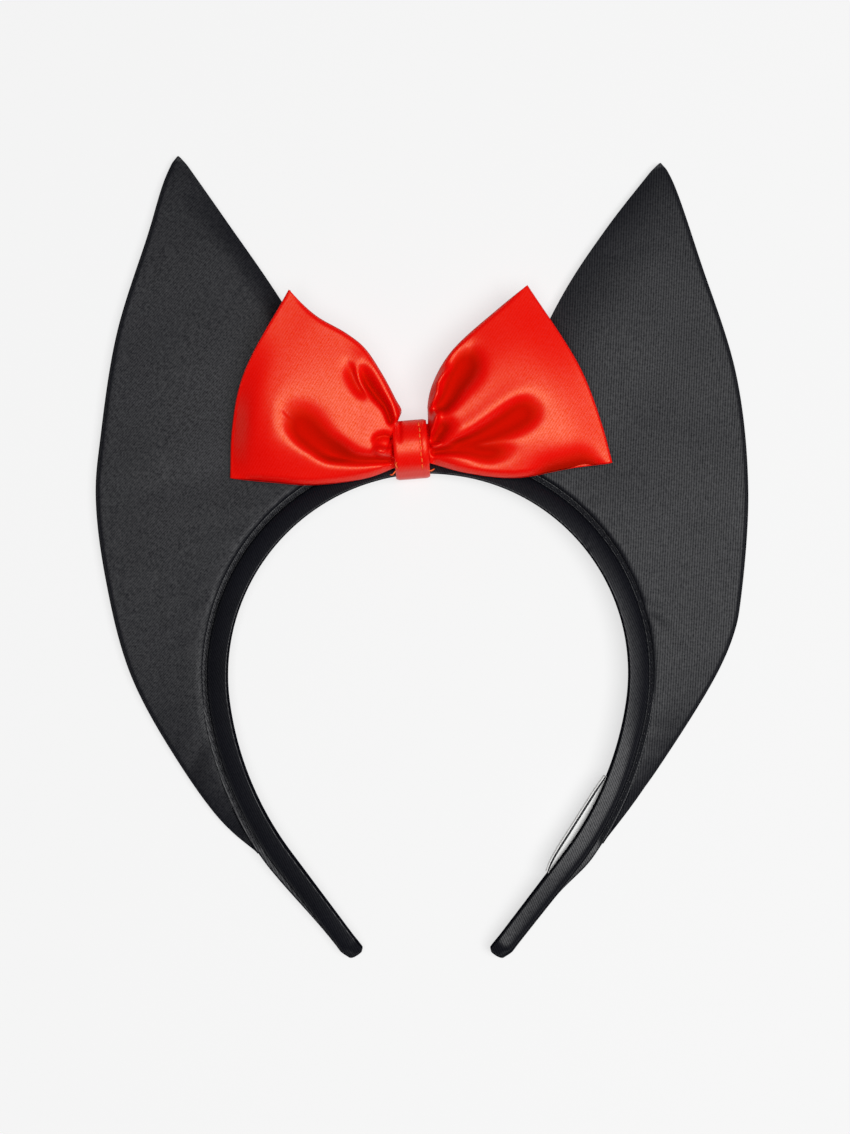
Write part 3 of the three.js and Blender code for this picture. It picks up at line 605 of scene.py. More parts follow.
def make_ear(name, ear, cloth):
    """One padded ear, from its foot on the arm up to the tip."""
    root_out = BAND_THICKNESS + FLANGE_REACH + EAR_GAP
    tongue_out = root_out - EAR_GAP - EAR_TONGUE
    side = math.copysign(1, ear["tip"][0])
    tip_shift = np.array([side * EAR_TIP_WIDTH / 2, 0])
    foot = hoop_point(ear["low"], root_out + EAR_GAP, 0)[:2]
    crotch = hoop_point(ear["high"], tongue_out, 0)[:2]
    tip_rows = np.sin(np.linspace(0, math.pi / 2, EAR_TIP_ROWS + 1))[1:]
    lower_rows = np.linspace(0, EAR_TIP_START, EAR_ROWS)
    along = np.concatenate([lower_rows, mix(EAR_TIP_START, EAR_TIP_END, tip_rows)])
    free = np.clip((along - EAR_BASE_SHARE) / (1 - EAR_BASE_SHARE), 0, 1)
    outer = smooth_line([foot, *ear["outer"], ear["tip"] + tip_shift], along)
    inner = smooth_line([crotch, *ear["inner"], ear["tip"] - tip_shift], free)
    ridge = (outer + inner) / 2
    narrow = np.sqrt(1 - np.clip((along - EAR_TIP_START) / (1 - EAR_TIP_START), 0, 1) ** 2)[:, None]
    outer = mix(ridge, outer, narrow)
    inner = mix(ridge, inner, narrow)
    distance = mix(ear["low"], ear["high"], np.minimum(along / EAR_BASE_SHARE, 1))
    sewn = (free <= 0)[:, None]
    rim = np.where(sewn, hoop_point(distance, tongue_out, 0)[:, :2], inner)
    across = outer - rim
    breadth = np.linalg.norm(across, axis=1, keepdims=True)
    inset = np.minimum(EAR_TONGUE + EAR_GAP, EAR_RIM_SHARE * breadth)
    inset = inset * mix(1, EAR_FREE_INSET, ease(free, 0, EAR_INSET_FADE))[:, None]
    root = np.where(sewn, hoop_point(distance, root_out, 0)[:, :2], rim + across / breadth * inset)
    width = np.linalg.norm(outer - root, axis=1, keepdims=True)

    # The padding thins towards the foot and the tip, as the ear narrows
    thick = EAR_PADDING * np.tanh(2 * EAR_SLENDERNESS * width / EAR_PADDING)
    swell = np.maximum(thick - EAR_RIM, 0) / 2
    root_height = mix(SEAM_HEIGHT, EAR_EDGE_HEIGHT, free)[:, None]

    # Columns crowd towards both edges, where the padding turns over
    share = (1 - np.cos(np.linspace(0, math.pi, EAR_COLUMNS + 1))) / 2
    place = root[:, None] + (outer - root)[:, None] * share[:, None]
    x = place[..., 0]
    y = place[..., 1]
    middle = mix(root_height, EAR_EDGE_HEIGHT, share)
    from_root = share * width
    loose = ease(free, 0, EAR_LOOSE_RUN)[:, None]
    root_reach = np.minimum(mix(EAR_SEWN_REACH, ear["free_reach"], loose), width * EAR_REACH_SHARE)
    outer_reach = np.minimum(EAR_OUTER_REACH, width / 2)
    sharpness = mix(EAR_ROUND, 1, loose)
    bulge = edge_rise(from_root, root_reach, sharpness)
    bulge = bulge * edge_rise(width - from_root, outer_reach, EAR_ROUND)
    uneven = PUCKER_UNEVEN * ripple(x, y, ear["seed"])
    pucker = PUCKER_DEPTH * np.cos(2 * math.pi * distance[:, None] / PUCKER_PITCH + uneven)
    pucker = pucker * np.exp(-from_root / PUCKER_REACH) * (1 - ease(free, 0, PUCKER_FADE))[:, None]
    face = RIPPLE_DEPTH * ripple(x, y, ear["seed"] + 1) + pucker - dent_depth(ear["dents"], x, y)
    front = middle + EAR_RIM / 2 + (swell + face) * bulge
    back = np.maximum(middle - EAR_RIM / 2 - swell * bulge, EAR_FLOOR_CLEARANCE)
    front = np.maximum(front, back + EAR_RIM)
    rim_front = np.concatenate([rim, root_height + EAR_RIM / 2], axis=1)[:, None]
    rim_back = np.concatenate([rim, root_height - EAR_RIM / 2], axis=1)[:, None]
    lean = EAR_OVERHANG * (1 - np.exp(-from_root / EAR_OVERHANG_START)) * (1 - loose)
    lean = lean * np.clip(1 - from_root / EAR_OVERHANG_REACH, 0, 1) ** 2
    lean = lean * np.minimum(1, width / EAR_OVERHANG_REACH)
    inward = (across / breadth)[:, None] * lean[..., None]
    front_points = np.stack([x - inward[..., 0], y - inward[..., 1], front], axis=-1)
    front_points = np.concatenate([rim_front, front_points], axis=1)
    back_points = np.concatenate([rim_back, np.stack([x, y, back], axis=-1)], axis=1)
    points = np.concatenate([front_points, back_points[:, ::-1]], axis=1)
    piece = make_piece(name + "_pad", points, loft_faces(*points.shape[:2]), cloth)
    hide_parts(name)


slanted_satin = cloth_material(
    "slanted satin", BLACK, BLACK_LIT, gloss=0.26, contrast=0.9,
    pitch=0.62, slant=42, grain=0.78, rough=(0.46, 0.56), relief=0.35)
upright_satin = cloth_material(
    "upright satin", BLACK, BLACK_LIT, gloss=0.26, contrast=0.75,
    pitch=0.8, slant=3, grain=0.65, rough=(0.46, 0.56), relief=0.35)
make_ear("ear_left", EARS["ear_left"], slanted_satin)
make_ear("ear_right", EARS["ear_right"], upright_satin)

# Bow loops
# Two wings of red satin. Each is a strip folded back on itself at its outer edge, with its long edges
# turned under, and pleated where the knot gathers it, so that folds run out from the neck.

BOW_WALL = 0.7
BOW_NECK_FRONT = 16.6
BOW_NECK_BACK = 12.4
BOW_EDGE_THICKNESS = 2.2
BOW_FOLD_START = 0.985
BOW_NECK_EASE = 1.2
BOW_BACK_DROP_START = 0.45
BOW_BACK_DROP_END = 0.95
BOW_BACK_SAG = 1.2
BOW_NECK_GAP = 0.3
BOW_FRONT_ROWS = 170
BOW_NOSE_ROWS = 8
BOW_BACK_ROWS = 40
BOW_COLUMNS = 140
CURL_LOWER_DROP = 1.7
CURL_LOWER_REACH = 2.4
CURL_UPPER_DROP = 0.9
CURL_UPPER_REACH = 1.5
FOLD_STEPS = 70
FOLD_BLEND = 10
FOLD_SOFT = 0.8
FOLD_SPREAD_END = 0.8
FOLD_GROW_START = -0.01
FOLD_SHADE_START = 0.4
FOLD_SHADE_FULL = 3.0
FOLD_NECK_RISE = 0.035
FOLD_EDGE_FADE = 0.82

RED = (0.80, 0.0008, 0.0008)
RED_LIT = (0.90, 0.0018, 0.0014)
RED_GLINT = (1.0, 1.0, 0.05, 1)
RED_GLINT_LEVEL = 0.19

# Edges run outwards from the neck, and the outer edge from its lower corner to its upper one. A fold
# follows its path with a height, and falls away over a width to its upper and its lower side, where neck
# is the share of that width at its start. A crisp of 1 gives it a sharp crest and 2 a round one. It grows
# over its first share and dies over its last.
BOW_LOOPS = {
    "bow_loop_left": {
        "side": -1,
        "lower": [(-8.3, 28.4), (-16.9, 25.2), (-34.7, 22.9), (-48.1, 23.9), (-60.9, 25.2)],
        "upper": [
            (-9.2, 41.4), (-8.6, 44.4), (-6.3, 46), (-8, 49.6), (-12.5, 57.9), (-17.9, 65.8),
            (-23.4, 70.2), (-32.3, 75.3), (-37.1, 79.3), (-41.7, 84.1),
        ],
        "outer": [(-60.9, 25.2), (-60.1, 41), (-56.4, 57), (-41.7, 84.1)],
        "rises": [
            {"along": 0, "heights": [15, 16.4, 16.8, 16.4, 15.2]},
            {"along": 0.15, "heights": [15.6, 18.8, 19.8, 20, 18.6]},
            {"along": 0.35, "heights": [15.2, 19.6, 20.6, 21.2, 20.4]},
            {"along": 0.6, "heights": [15.2, 20.2, 21.2, 21.6, 21]},
            {"along": 0.8, "heights": [13.8, 19.4, 21, 21.2, 20.8]},
            {"along": 0.88, "heights": [12.8, 17.8, 20.2, 20.8, 20.4]},
            {"along": 1, "heights": [10.4, 12, 17.2, 20, 20]},
        ],
        "folds": [
            {"path": [(-20, 31.4), (-26, 32.8), (-31, 34.6), (-35.4, 37.6), (-39.2, 41.6), (-43.2, 45.4)],
             "height": -3.4, "upper": 6.2, "lower": 3.4,
             "neck": 0.45, "crisp": 2.2, "grow": 0.35, "die": 0.34},
            {"path": [(-8.8, 30.7), (-14, 30.5), (-20, 30.6), (-25, 31.2), (-30, 32), (-35, 33.2)],
             "height": -2.6, "upper": 2.4, "lower": 2,
             "neck": 0.5, "crisp": 1.6, "grow": 0.01, "die": 0.3},
            {"path": [(-8, 43.6), (-9, 47.1), (-11.6, 52), (-15, 57.6), (-18.6, 61.6), (-22, 64)],
             "height": 1.4, "upper": 3.4, "lower": 2.4,
             "neck": 0.5, "crisp": 2, "grow": 0.01, "die": 0.4},
            {"path": [(-9.6, 42.6), (-11.3, 47), (-14.4, 51), (-16.9, 54.6), (-18.3, 58), (-18.8, 61.5)],
             "height": -3.4, "upper": 2.6, "lower": 1.2,
             "neck": 0.5, "crisp": 1.5, "grow": 0.01, "die": 0.35},
            {"path": [(-17.3, 49.8), (-20, 53.6), (-21.6, 57.2), (-22.8, 61.5)],
             "height": -1.7, "upper": 1, "lower": 2.2,
             "neck": 0.7, "crisp": 1.8, "grow": 0.3, "die": 0.35},
            {"path": [(-8.8, 37.4), (-11.4, 38.2), (-14, 37.4), (-15.6, 35.4)],
             "height": -1.8, "upper": 0.8, "lower": 1.3,
             "neck": 0.9, "crisp": 1.4, "grow": 0.01, "die": 0.4},
            {"path": [(-8.8, 33), (-12, 32.8), (-15, 34)],
             "height": 1.8, "upper": 1.7, "lower": 1.5,
             "neck": 1, "crisp": 3, "grow": 0.01, "die": 0.4},
        ],
    },
    "bow_loop_right": {
        "side": 1,
        "lower": [(2.7, 29.8), (14.4, 26.7), (30, 25.2), (48.1, 28.4), (60.4, 29.9)],
        "upper": [(2, 42.2), (2, 45.2), (1.9, 48), (3.4, 54.4), (9, 64.3), (23.8, 78), (33.5, 86)],
        "outer": [(60.4, 29.9), (56.9, 42), (50, 59.7), (33.5, 86)],
        "rises": [
            {"along": 0, "heights": [15, 16.4, 16.8, 16.4, 15.2]},
            {"along": 0.15, "heights": [17.2, 19.4, 21, 20.4, 18]},
            {"along": 0.35, "heights": [17.6, 20.4, 22, 21.8, 18.8]},
            {"along": 0.6, "heights": [18, 21, 22.2, 21.8, 19.2]},
            {"along": 0.8, "heights": [18.2, 20.4, 21, 20.4, 18.2]},
            {"along": 1, "heights": [15.2, 17.6, 18.4, 17.4, 15.8]},
        ],
        "folds": [
            {"path": [(8, 35.2), (14, 36.6), (20, 38.8), (25, 41.4), (30, 44.4), (36, 48)],
             "height": -3.2, "upper": 3.8, "lower": 4.6,
             "neck": 0.25, "crisp": 2.4, "grow": 0.15, "die": 0.2},
            {"path": [(2.9, 33.2), (9, 33.8), (15, 33.8), (20, 33), (25, 33.4), (30, 34.4)],
             "height": -2.8, "upper": 2.6, "lower": 3,
             "neck": 0.4, "crisp": 2, "grow": 0.01, "die": 0.35},
            {"path": [(36, 23.6), (44, 25), (52, 26.4), (60, 27.2)],
             "height": -3.8, "upper": 6.2, "lower": 4,
             "neck": 0.8, "crisp": 2, "grow": 0.3, "die": 0.01},
            {"path": [(5, 46.2), (8, 50), (10.5, 55), (13.4, 60), (15, 65.5)],
             "height": -3.4, "upper": 3.4, "lower": 5,
             "neck": 0.5, "crisp": 2.4, "grow": 0.1, "die": 0.3},
            {"path": [(3, 47), (4.8, 51.5), (5.4, 55), (8, 58.5), (11, 61)],
             "height": 1.4, "upper": 1.2, "lower": 1.1,
             "neck": 0.8, "crisp": 2, "grow": 0.1, "die": 0.35},
            {"path": [(2.5, 38), (4, 42), (5.2, 45.2), (7.4, 46)],
             "height": 1.9, "upper": 1.2, "lower": 1,
             "neck": 0.9, "crisp": 2, "grow": 0.01, "die": 0.4},
            {"path": [(4.4, 37.2), (6.4, 40.4), (8.4, 43.4)],
             "height": -3, "upper": 1.6, "lower": 2.6,
             "neck": 0.8, "crisp": 1.6, "grow": 0.01, "die": 0.5},
            {"path": [(2.9, 34.9), (4.6, 34.8), (6.4, 35.2)],
             "height": 1.4, "upper": 1.3, "lower": 1.1,
             "neck": 0.9, "crisp": 2, "grow": 0.01, "die": 0.5},
            {"path": [(7.4, 38), (13.1, 40.4), (19.7, 44.4), (26.3, 49), (35.2, 54.6)],
             "height": 0.6, "upper": 4, "lower": 3,
             "neck": 0.6, "crisp": 2, "grow": 0.2, "die": 0.5},
        ],
    },
}


def soft_values(knots, rows, at):
    """Rows of values blended along a smooth curve through all of them."""
    rows = np.asarray(rows, dtype=float)
    slopes = np.gradient(rows, knots, axis=0)
    span = np.clip(np.searchsorted(knots, at, side="right") - 1, 0, len(knots) - 2)
    length = np.diff(knots)[span][:, None]
    share = ((at - np.asarray(knots)[span])[:, None]) / length
    start = (1 + 2 * share) * (1 - share) ** 2 * rows[span] + share * (1 - share) ** 2 * length * slopes[span]
    end = share ** 2 * (3 - 2 * share) * rows[span + 1] + share ** 2 * (share - 1) * length * slopes[span + 1]
    return start + end


def fold_rise(folds, places, side):
    """Rise of all the folds of a wing at each of its places."""
    rise = np.zeros(places.shape[:-1])
    for fold in folds:
        travelled = np.linspace(0, 1, FOLD_STEPS + 1)
        line = smooth_line(fold["path"], travelled)
        run = np.gradient(line, axis=0)
        run = run / np.linalg.norm(run, axis=-1, keepdims=True)
        gap = places[..., None, :] - line
        distance = np.linalg.norm(gap, axis=-1)
        turn = side * (run[:, 0] * gap[..., 1] - run[:, 1] * gap[..., 0]) / (distance + FOLD_SOFT)
        nearest = distance.argmin(-1)[..., None]
        above = ease(np.take_along_axis(turn, nearest, -1), -1, 1)
        width = mix(fold["lower"], fold["upper"], above)
        width = width * mix(fold["neck"], 1, ease(travelled, 0, FOLD_SPREAD_END))
        strength = ease(travelled, FOLD_GROW_START, fold["grow"]) * (1 - ease(travelled, 1 - fold["die"], 1))
        parts = strength * np.exp(-(distance / width) ** fold["crisp"])
        rise += fold["height"] * (parts ** FOLD_BLEND).sum(-1) ** (1 / FOLD_BLEND)
    return rise


def make_bow_loop(name, wing):
    """One wing: its strip runs out along the front, round the fold and back behind."""
    across = np.linspace(0, 1, BOW_COLUMNS + 1)
    neck = smooth_line([wing["lower"][0], wing["upper"][0]], across)
    outer = smooth_line(wing["outer"], across)
    columns = across[None, :, None]

    def plan(along):
        """Places in plan, blended between the four edges."""
        rows = along[:, None, None]
        lower = smooth_line(wing["lower"], along)[:, None]
        upper = smooth_line(wing["upper"], along)[:, None]
        ends = mix(neck[None], outer[None], rows)
        corners = mix(mix(neck[0], neck[-1], columns), mix(outer[0], outer[-1], columns), rows)
        return mix(lower, upper, columns) + ends - corners

    front_along = BOW_FOLD_START * np.linspace(0, 1, BOW_FRONT_ROWS + 1) ** BOW_NECK_EASE
    front_plan = plan(front_along)
    rows = front_along[:, None]
    breadth = np.linspace(0, 1, len(wing["rises"][0]["heights"]))
    rises = soft_values(breadth, np.array([row["heights"] for row in wing["rises"]]).T, across).T
    knots = np.array([row["along"] for row in wing["rises"]])
    front = soft_values(knots, rises, front_along)
    edge_front = front[-1]
    settle = ease(rows, 0, FOLD_NECK_RISE) * (1 - ease(rows, FOLD_EDGE_FADE, BOW_FOLD_START))
    folds = settle * fold_rise(wing["folds"], front_plan, wing["side"])
    front = front + folds
    span = np.linalg.norm(front_plan[:, -1] - front_plan[:, 0], axis=-1)[:, None]
    lower_curl = CURL_LOWER_DROP * (1 - np.minimum(across * span / CURL_LOWER_REACH, 1)) ** 2
    upper_curl = CURL_UPPER_DROP * (1 - np.minimum((1 - across) * span / CURL_UPPER_REACH, 1)) ** 2
    front = front - settle * (lower_curl + upper_curl)

    back_along = BOW_FOLD_START * np.linspace(1, 0, BOW_BACK_ROWS + 1)
    back_plan = plan(back_along)
    back_turn = ease(back_along, BOW_BACK_DROP_START, BOW_BACK_DROP_END)[:, None]
    back = mix(BOW_NECK_BACK, edge_front - BOW_EDGE_THICKNESS, back_turn)
    back = back - BOW_BACK_SAG * np.sin(math.pi * back_along / BOW_FOLD_START)[:, None]

    bend = np.linspace(math.pi / 2, -math.pi / 2, BOW_NOSE_ROWS + 2)[1:-1]
    nose_plan = plan(BOW_FOLD_START + (1 - BOW_FOLD_START) * np.cos(bend))
    nose = edge_front + BOW_EDGE_THICKNESS / 2 * (np.sin(bend)[:, None] - 1)

    # The strip's two ends meet inside the knot
    knot_middle = hoop_point(KNOT_ALONG, (BOW_NECK_FRONT + BOW_NECK_BACK) / 2, 0)[0]
    end_plan = neck[None].copy()
    end_plan[..., 0] = knot_middle + wing["side"] * BOW_NECK_GAP
    places = np.concatenate([end_plan, front_plan, nose_plan, back_plan, end_plan])
    heights = np.concatenate([front[:1], front, nose, back, back[-1:]])
    outside = np.concatenate([places, heights[..., None]], axis=-1)
    normal = np.cross(np.gradient(outside, axis=0), np.gradient(outside, axis=1))
    normal = normal / np.maximum(np.linalg.norm(normal, axis=-1, keepdims=True), TINY)
    outward = math.copysign(1, normal[BOW_FRONT_ROWS // 2, BOW_COLUMNS // 2, 2])
    inside = outside - outward * BOW_WALL * normal
    points = np.concatenate([outside, inside[:, ::-1]], axis=1)
    piece = make_piece(name + "_cloth", points, loft_faces(*points.shape[:2]), red_satin)
    # Painted shade: the deeper a fold sinks, the darker its colour is drawn on the wing's outside, through
    # the fold shade attribute
    shade = np.zeros(points.shape[:2])
    shade[1:1 + len(folds), :BOW_COLUMNS + 1] = ease(-folds, FOLD_SHADE_START, FOLD_SHADE_FULL)
    attribute = piece.data.attributes.new("fold shade", "FLOAT", "POINT")
    attribute.data.foreach_set("value", shade.ravel())
    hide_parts(name)


red_satin = cloth_material(
    "red satin", RED, RED_LIT, gloss=0.18, contrast=1.0,
    pitch=0.78, slant=32, grain=0.74, rough=(0.32, 0.4), relief=0.26)
red_satin_shader = red_satin.node_tree.nodes["Principled BSDF"]
red_satin_shader.inputs["Specular IOR Level"].default_value = RED_GLINT_LEVEL
red_satin_shader.inputs["Specular Tint"].default_value = RED_GLINT
for name, wing in BOW_LOOPS.items():
    make_bow_loop(name, wing)

# Knot
# A narrow strip of the same red satin, wrapped round the bow's neck and the band and closed behind. Its
# right edge is a stitched hem in bright orange thread, whose cut ends stand out at the lower corners.

KNOT_WIDTH = 10.9
KNOT_WALL = 0.9
KNOT_ROUND = 2.4
KNOT_PATH_STEPS = 11
KNOT_PATH_SPLIT = 4
KNOT_COLUMNS = 44
KNOT_BULGE = 0.4
KNOT_BULGE_MIDDLE = 8.6
KNOT_BULGE_REACH = 7.6
KNOT_EDGE_ROUND = 1.3
KNOT_EDGE_DROP = 0.45
KNOT_CREASE_AT = -3.3
KNOT_CREASE_WIDTH = 0.8
KNOT_CREASE_DEPTH = 1.1
KNOT_CREASE_START = 8.5
KNOT_CREASE_END = 13.5
HEM_AT = 3.1
HEM_GROOVE = 0.22
HEM_GROOVE_WIDTH = 0.5
HEM_COUNT = 8
HEM_START = 1
HEM_PITCH = 1.9
HEM_STITCH = 1.5
HEM_RADIUS = 0.24
HEM_SINK = 1.6
HEM_SINK_POWER = 4
HEM_SWAY = 0.1
HEM_SWAY_TURN = 2.4
HEM_FACING = 0.3
ORANGE = (0.9, 0.075, 0.01)
ORANGE_LIT = (0.95, 0.16, 0.03)

# Corners of the strip's middle line, as distances out from the hoop line and up from the floor
KNOT_CORNERS = [
    (-1.1, 0.6), (6.9, 0.6), (8.0, 3.0), (16.4, 11.6), (16.2, 16.2), (11.2, 19.4), (6.0, 19.2),
    (1.6, 16.6), (-1.1, 9.5),
]


def knot_place(out, across, up):
    """Point of the knot, turned with the hoop where it is tied."""
    base = hoop_point(KNOT_ALONG, 0, 0)
    turn = -KNOT_ALONG / CROWN_RADIUS
    x = base[0] + across * math.cos(turn) - out * math.sin(turn)
    y = base[1] + across * math.sin(turn) + out * math.cos(turn)
    return np.stack(np.broadcast_arrays(x, y, up), axis=-1)


def knot_relief(out, across, facing):
    """Rise of the strip's outer face: a soft bulge in front, a crease, a stitched hem, round edges."""
    bulge = KNOT_BULGE * np.clip(1 - ((out - KNOT_BULGE_MIDDLE) / KNOT_BULGE_REACH) ** 2, 0, 1)
    crease = np.exp(-((across - KNOT_CREASE_AT) / KNOT_CREASE_WIDTH) ** 2)
    crease = KNOT_CREASE_DEPTH * crease * ease(out, KNOT_CREASE_START, KNOT_CREASE_END)
    groove = HEM_GROOVE * np.exp(-((across - HEM_AT) / HEM_GROOVE_WIDTH) ** 2)
    from_edge = KNOT_WIDTH / 2 - np.abs(across)
    edge = KNOT_EDGE_DROP * (1 - np.minimum(from_edge / KNOT_EDGE_ROUND, 1)) ** 2
    return facing * (bulge - crease - groove) - edge


def make_knot():
    """The strip as a closed loop, with its outer face dressed."""
    corners = np.array([KNOT_CORNERS], dtype=float)
    radii = np.full(corners.shape[:2], KNOT_ROUND)
    path = rounded(corners, radii, KNOT_PATH_STEPS)[0]
    after = np.roll(path, -1, axis=0)
    share = np.linspace(0, 1, KNOT_PATH_SPLIT, endpoint=False)[:, None]
    path = (path[:, None] + (after - path)[:, None] * share).reshape(-1, 2)
    run = np.roll(path, -1, axis=0) - np.roll(path, 1, axis=0)
    normal = np.stack([run[:, 1], -run[:, 0]], axis=-1)
    normal = normal / np.linalg.norm(normal, axis=-1, keepdims=True)
    across = KNOT_WIDTH / 2 * np.linspace(-1, 1, KNOT_COLUMNS + 1)
    facing = np.clip(normal[:, 1], 0, 1)[:, None]
    rise = knot_relief(path[:, :1], across, facing)
    outer = path[:, None] + normal[:, None] * (KNOT_WALL / 2 + rise)[..., None]
    inner = path[:, None] - normal[:, None] * np.full_like(rise, KNOT_WALL / 2)[..., None]
    outer_points = knot_place(outer[..., 0], across, outer[..., 1])
    inner_points = knot_place(inner[..., 0], across, inner[..., 1])
    points = np.concatenate([outer_points, inner_points[:, ::-1]], axis=1)
    faces = loft_faces(*points.shape[:2], closed=True)
    piece = make_piece("bow_knot_strip", points, faces, red_satin)
    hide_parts("bow_knot")
    length = np.linalg.norm(run, axis=-1).sum() / 2
    hem_column = np.abs(across - HEM_AT).argmin()
    hem_face = outer[normal[:, 1] > HEM_FACING, hem_column]
    return piece, length, hem_face[hem_face[:, 0].argsort()]


knot, knot_length, hem_face = make_knot()
orange_thread = cloth_material(
    "orange thread", ORANGE, ORANGE_LIT, gloss=0.4, contrast=0.5,
    pitch=0.4, slant=60, grain=0.5, rough=(0.4, 0.5), relief=0.3)
hem_lines = []
for number in range(HEM_COUNT):
    out = HEM_START + HEM_PITCH * number + HEM_STITCH * (dash_share + 0.5)
    proud = HEM_RADIUS * (1 - HEM_SINK * (2 * dash_share) ** HEM_SINK_POWER)
    top = np.interp(out, hem_face[:, 0], hem_face[:, 1]) + proud
    hem_lines.append(knot_place(out, HEM_AT + HEM_SWAY * np.sin(number * HEM_SWAY_TURN), top))

# Cut ends of the thread, as places out from the hoop line, across the strip and up from the floor
LOOSE_ENDS = [
    [(1.2, -5.2, 16.2), (0.4, -5.9, 16.6), (-0.2, -6.6, 16.4), (0.1, -7.3, 15.7)],
    [(1.6, -4.6, 18.6), (2.2, -5.0, 19.2), (3.0, -5.2, 19.4), (3.6, -4.6, 19.1)],
    [(0.4, 4.9, 14.4), (0.2, 5.7, 14.6), (0.5, 6.4, 14.4), (0.8, 7.0, 13.8)],
]
for end in LOOSE_ENDS:
    curve = smooth_line(end, np.linspace(0, 1, DASH_RINGS))
    hem_lines.append(knot_place(curve[:, 0], curve[:, 1], curve[:, 2]))
hem = make_dashes("knot_stitches", hem_lines, HEM_RADIUS, orange_thread)

# Label
# A short bare ribbon of white satin on the inside of the right arm, with a thin dark line along its top
# edge. It is folded along its length, and both its ends are tacked to the band's cover with grey thread,
# so that it stands off between them.

LABEL_THICKNESS = 0.3
LABEL_TOP = 9.4
LABEL_STEPS = 60
LABEL_LEAF_STEPS = 40
LABEL_BAND_GAP = 0.4
LABEL_TURN_SHARE = 0.6
LABEL_TURN_HEIGHT = 8.2
LABEL_END_HEIGHT = 7.4
TACK_PLACES = [135.6, 137.2, 167.9, 169.4]
TACK_LENGTH = 0.9
TACK_SLANT = 1.2
TACK_OFF = 1.25
TACK_HEIGHT = 7.6
TACK_RADIUS = 0.14
DARK_LINE_OFF = 0.48
DARK_LINE_RADIUS = 0.36
DARK_LINE_SINK = 0.1
WHITE = (0.80, 0.80, 0.79)
WHITE_LIT = (0.88, 0.88, 0.87)
GREY = (0.12, 0.12, 0.13)
GREY_LIT = (0.2, 0.2, 0.21)

# The ribbon's line, as distances along the hoop and off its inner face. Its section goes from the top
# edge down, round the fold and up again, as steps back from that line and heights.
LABEL_LINE = [(134.5, 1.2), (140, 2.3), (147, 3), (154, 3.2), (162, 2.9), (167.5, 2.1), (170.5, 1.2)]
LABEL_LEAF = [(0, LABEL_TOP), (0, 7), (0.05, 5.4), (0.3, 4.7), (0.5, 5.4), (0.52, 7.2), (0.75, 8.5)]

white_ribbon = cloth_material(
    "white ribbon", WHITE, WHITE_LIT, gloss=0.4, contrast=0.5,
    pitch=0.5, slant=60, grain=0.5, rough=(0.4, 0.5), relief=0.2)
label_line = smooth_line(LABEL_LINE, np.linspace(0, 1, LABEL_STEPS + 1))
label_rings = []
for along, off in label_line:
    leaf = [(off - back, up) for back, up in LABEL_LEAF]
    leaf.append((mix(off, LABEL_BAND_GAP, LABEL_TURN_SHARE), LABEL_TURN_HEIGHT))
    leaf.append((LABEL_BAND_GAP, LABEL_END_HEIGHT))
    middle = smooth_line(leaf, np.linspace(0, 1, LABEL_LEAF_STEPS + 1))
    run = np.gradient(middle, axis=0)
    normal = np.stack([run[:, 1], -run[:, 0]], axis=-1) / np.linalg.norm(run, axis=-1, keepdims=True)
    shift = normal * LABEL_THICKNESS / 2
    ring = np.concatenate([middle + shift, (middle - shift)[::-1]])
    label_rings.append(hoop_point(along, -ring[:, 0], ring[:, 1]))
label_points = np.array(label_rings)
label_faces = loft_faces(*label_points.shape[:2])
label = make_piece("label_ribbon", label_points, label_faces, white_ribbon)
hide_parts("label")
grey_thread = cloth_material(
    "grey thread", GREY, GREY_LIT, gloss=0.3, contrast=0.5,
    pitch=0.4, slant=20, grain=0.5, rough=(0.5, 0.6), relief=0.3)
tack_lines = []
for along in TACK_PLACES:
    tack_up = TACK_HEIGHT - TACK_SLANT * dash_share
    tack_lines.append(hoop_point(along + TACK_LENGTH * dash_share, -TACK_OFF, tack_up))
tack = make_dashes("label_tacks", tack_lines, TACK_RADIUS, grey_thread)
# A thin tube of black satin draws the dark line along the ribbon's top edge
dark_line_path = hoop_point(label_line[:, 0], DARK_LINE_OFF - label_line[:, 1], LABEL_TOP - DARK_LINE_SINK)
dark_line = make_dashes("label_dark_line", [dark_line_path], DARK_LINE_RADIUS, band_satin)

# Floor, light and camera
# The headband lies on a plain pale floor under one large softbox, high up and to its right. The camera
# looks straight down. The floor and the softbox are in metres, and the softbox's power in watts.

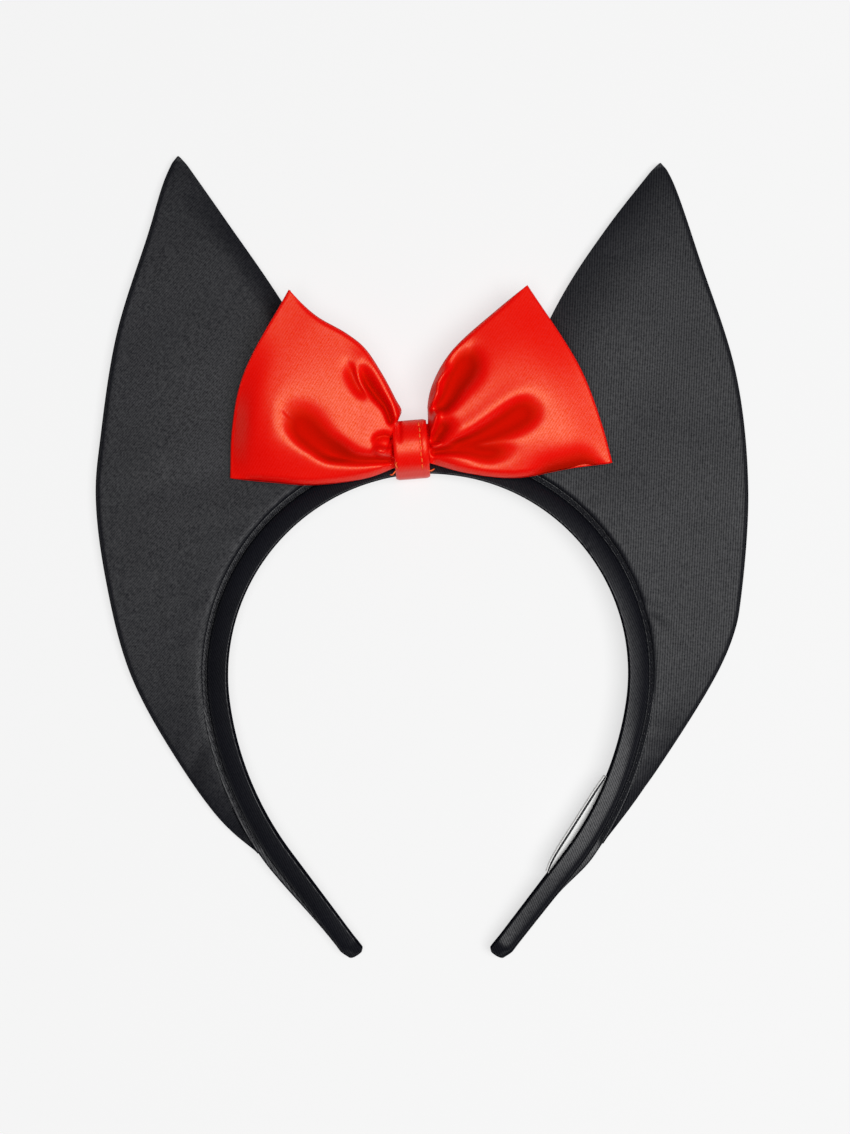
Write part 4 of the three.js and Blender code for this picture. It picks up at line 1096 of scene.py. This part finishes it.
FLOOR_DROP = 0.0001
FLOOR_SIZE = 24
FLOOR_TONE = (0.30, 0.30, 0.30, 1)
FLOOR_GLOW = (1, 1, 1, 1)
FLOOR_GLOW_LEVEL = 0.62
FLOOR_ROUGHNESS = 0.9
SOFTBOX_PLACE = (0.6, -0.23, 2.5)
SOFTBOX_WIDE = 2.4
SOFTBOX_DEEP = 1.4
SOFTBOX_POWER = 77
STUDIO_TONE = (0.04, 0.04, 0.04, 1)
CAMERA_PLACE = (1.12, -3.04, 755)
CAMERA_DISTANCE = 750
CAMERA_NEAR = 10
FRAME_WIDTH = 272
SENSOR = 36

bpy.ops.mesh.primitive_plane_add(size=FLOOR_SIZE, location=(0, 0, -FLOOR_DROP))
floor = bpy.context.object
floor.name = "floor"
floor_paint = bpy.data.materials.new("floor paint")
floor_paint.use_nodes = True
floor_shader = floor_paint.node_tree.nodes["Principled BSDF"]
floor_shader.inputs["Base Color"].default_value = FLOOR_TONE
floor_shader.inputs["Emission Color"].default_value = FLOOR_GLOW
floor_shader.inputs["Emission Strength"].default_value = FLOOR_GLOW_LEVEL
floor_shader.inputs["Roughness"].default_value = FLOOR_ROUGHNESS
floor_shader.inputs["Specular IOR Level"].default_value = 0.0
floor.data.materials.append(floor_paint)

lamp = bpy.data.lights.new("softbox", "AREA")
lamp.shape = "RECTANGLE"
lamp.size = SOFTBOX_WIDE
lamp.size_y = SOFTBOX_DEEP
lamp.energy = SOFTBOX_POWER
softbox = bpy.data.objects.new("softbox", lamp)
softbox.location = SOFTBOX_PLACE
bpy.context.collection.objects.link(softbox)
world = bpy.data.worlds.new("studio")
world.use_nodes = True
world.node_tree.nodes["Background"].inputs["Color"].default_value = STUDIO_TONE
bpy.context.scene.world = world

lens = bpy.data.cameras.new("camera")
lens.sensor_fit = "HORIZONTAL"
lens.sensor_width = SENSOR
lens.lens = SENSOR * CAMERA_DISTANCE / FRAME_WIDTH
lens.clip_start = CAMERA_NEAR * MM
camera = bpy.data.objects.new("camera", lens)
camera.location = [value * MM for value in CAMERA_PLACE]
bpy.context.collection.objects.link(camera)
bpy.context.scene.camera = camera
bpy.context.scene.view_settings.view_transform = "Standard"
bpy.context.scene.view_settings.look = "None"
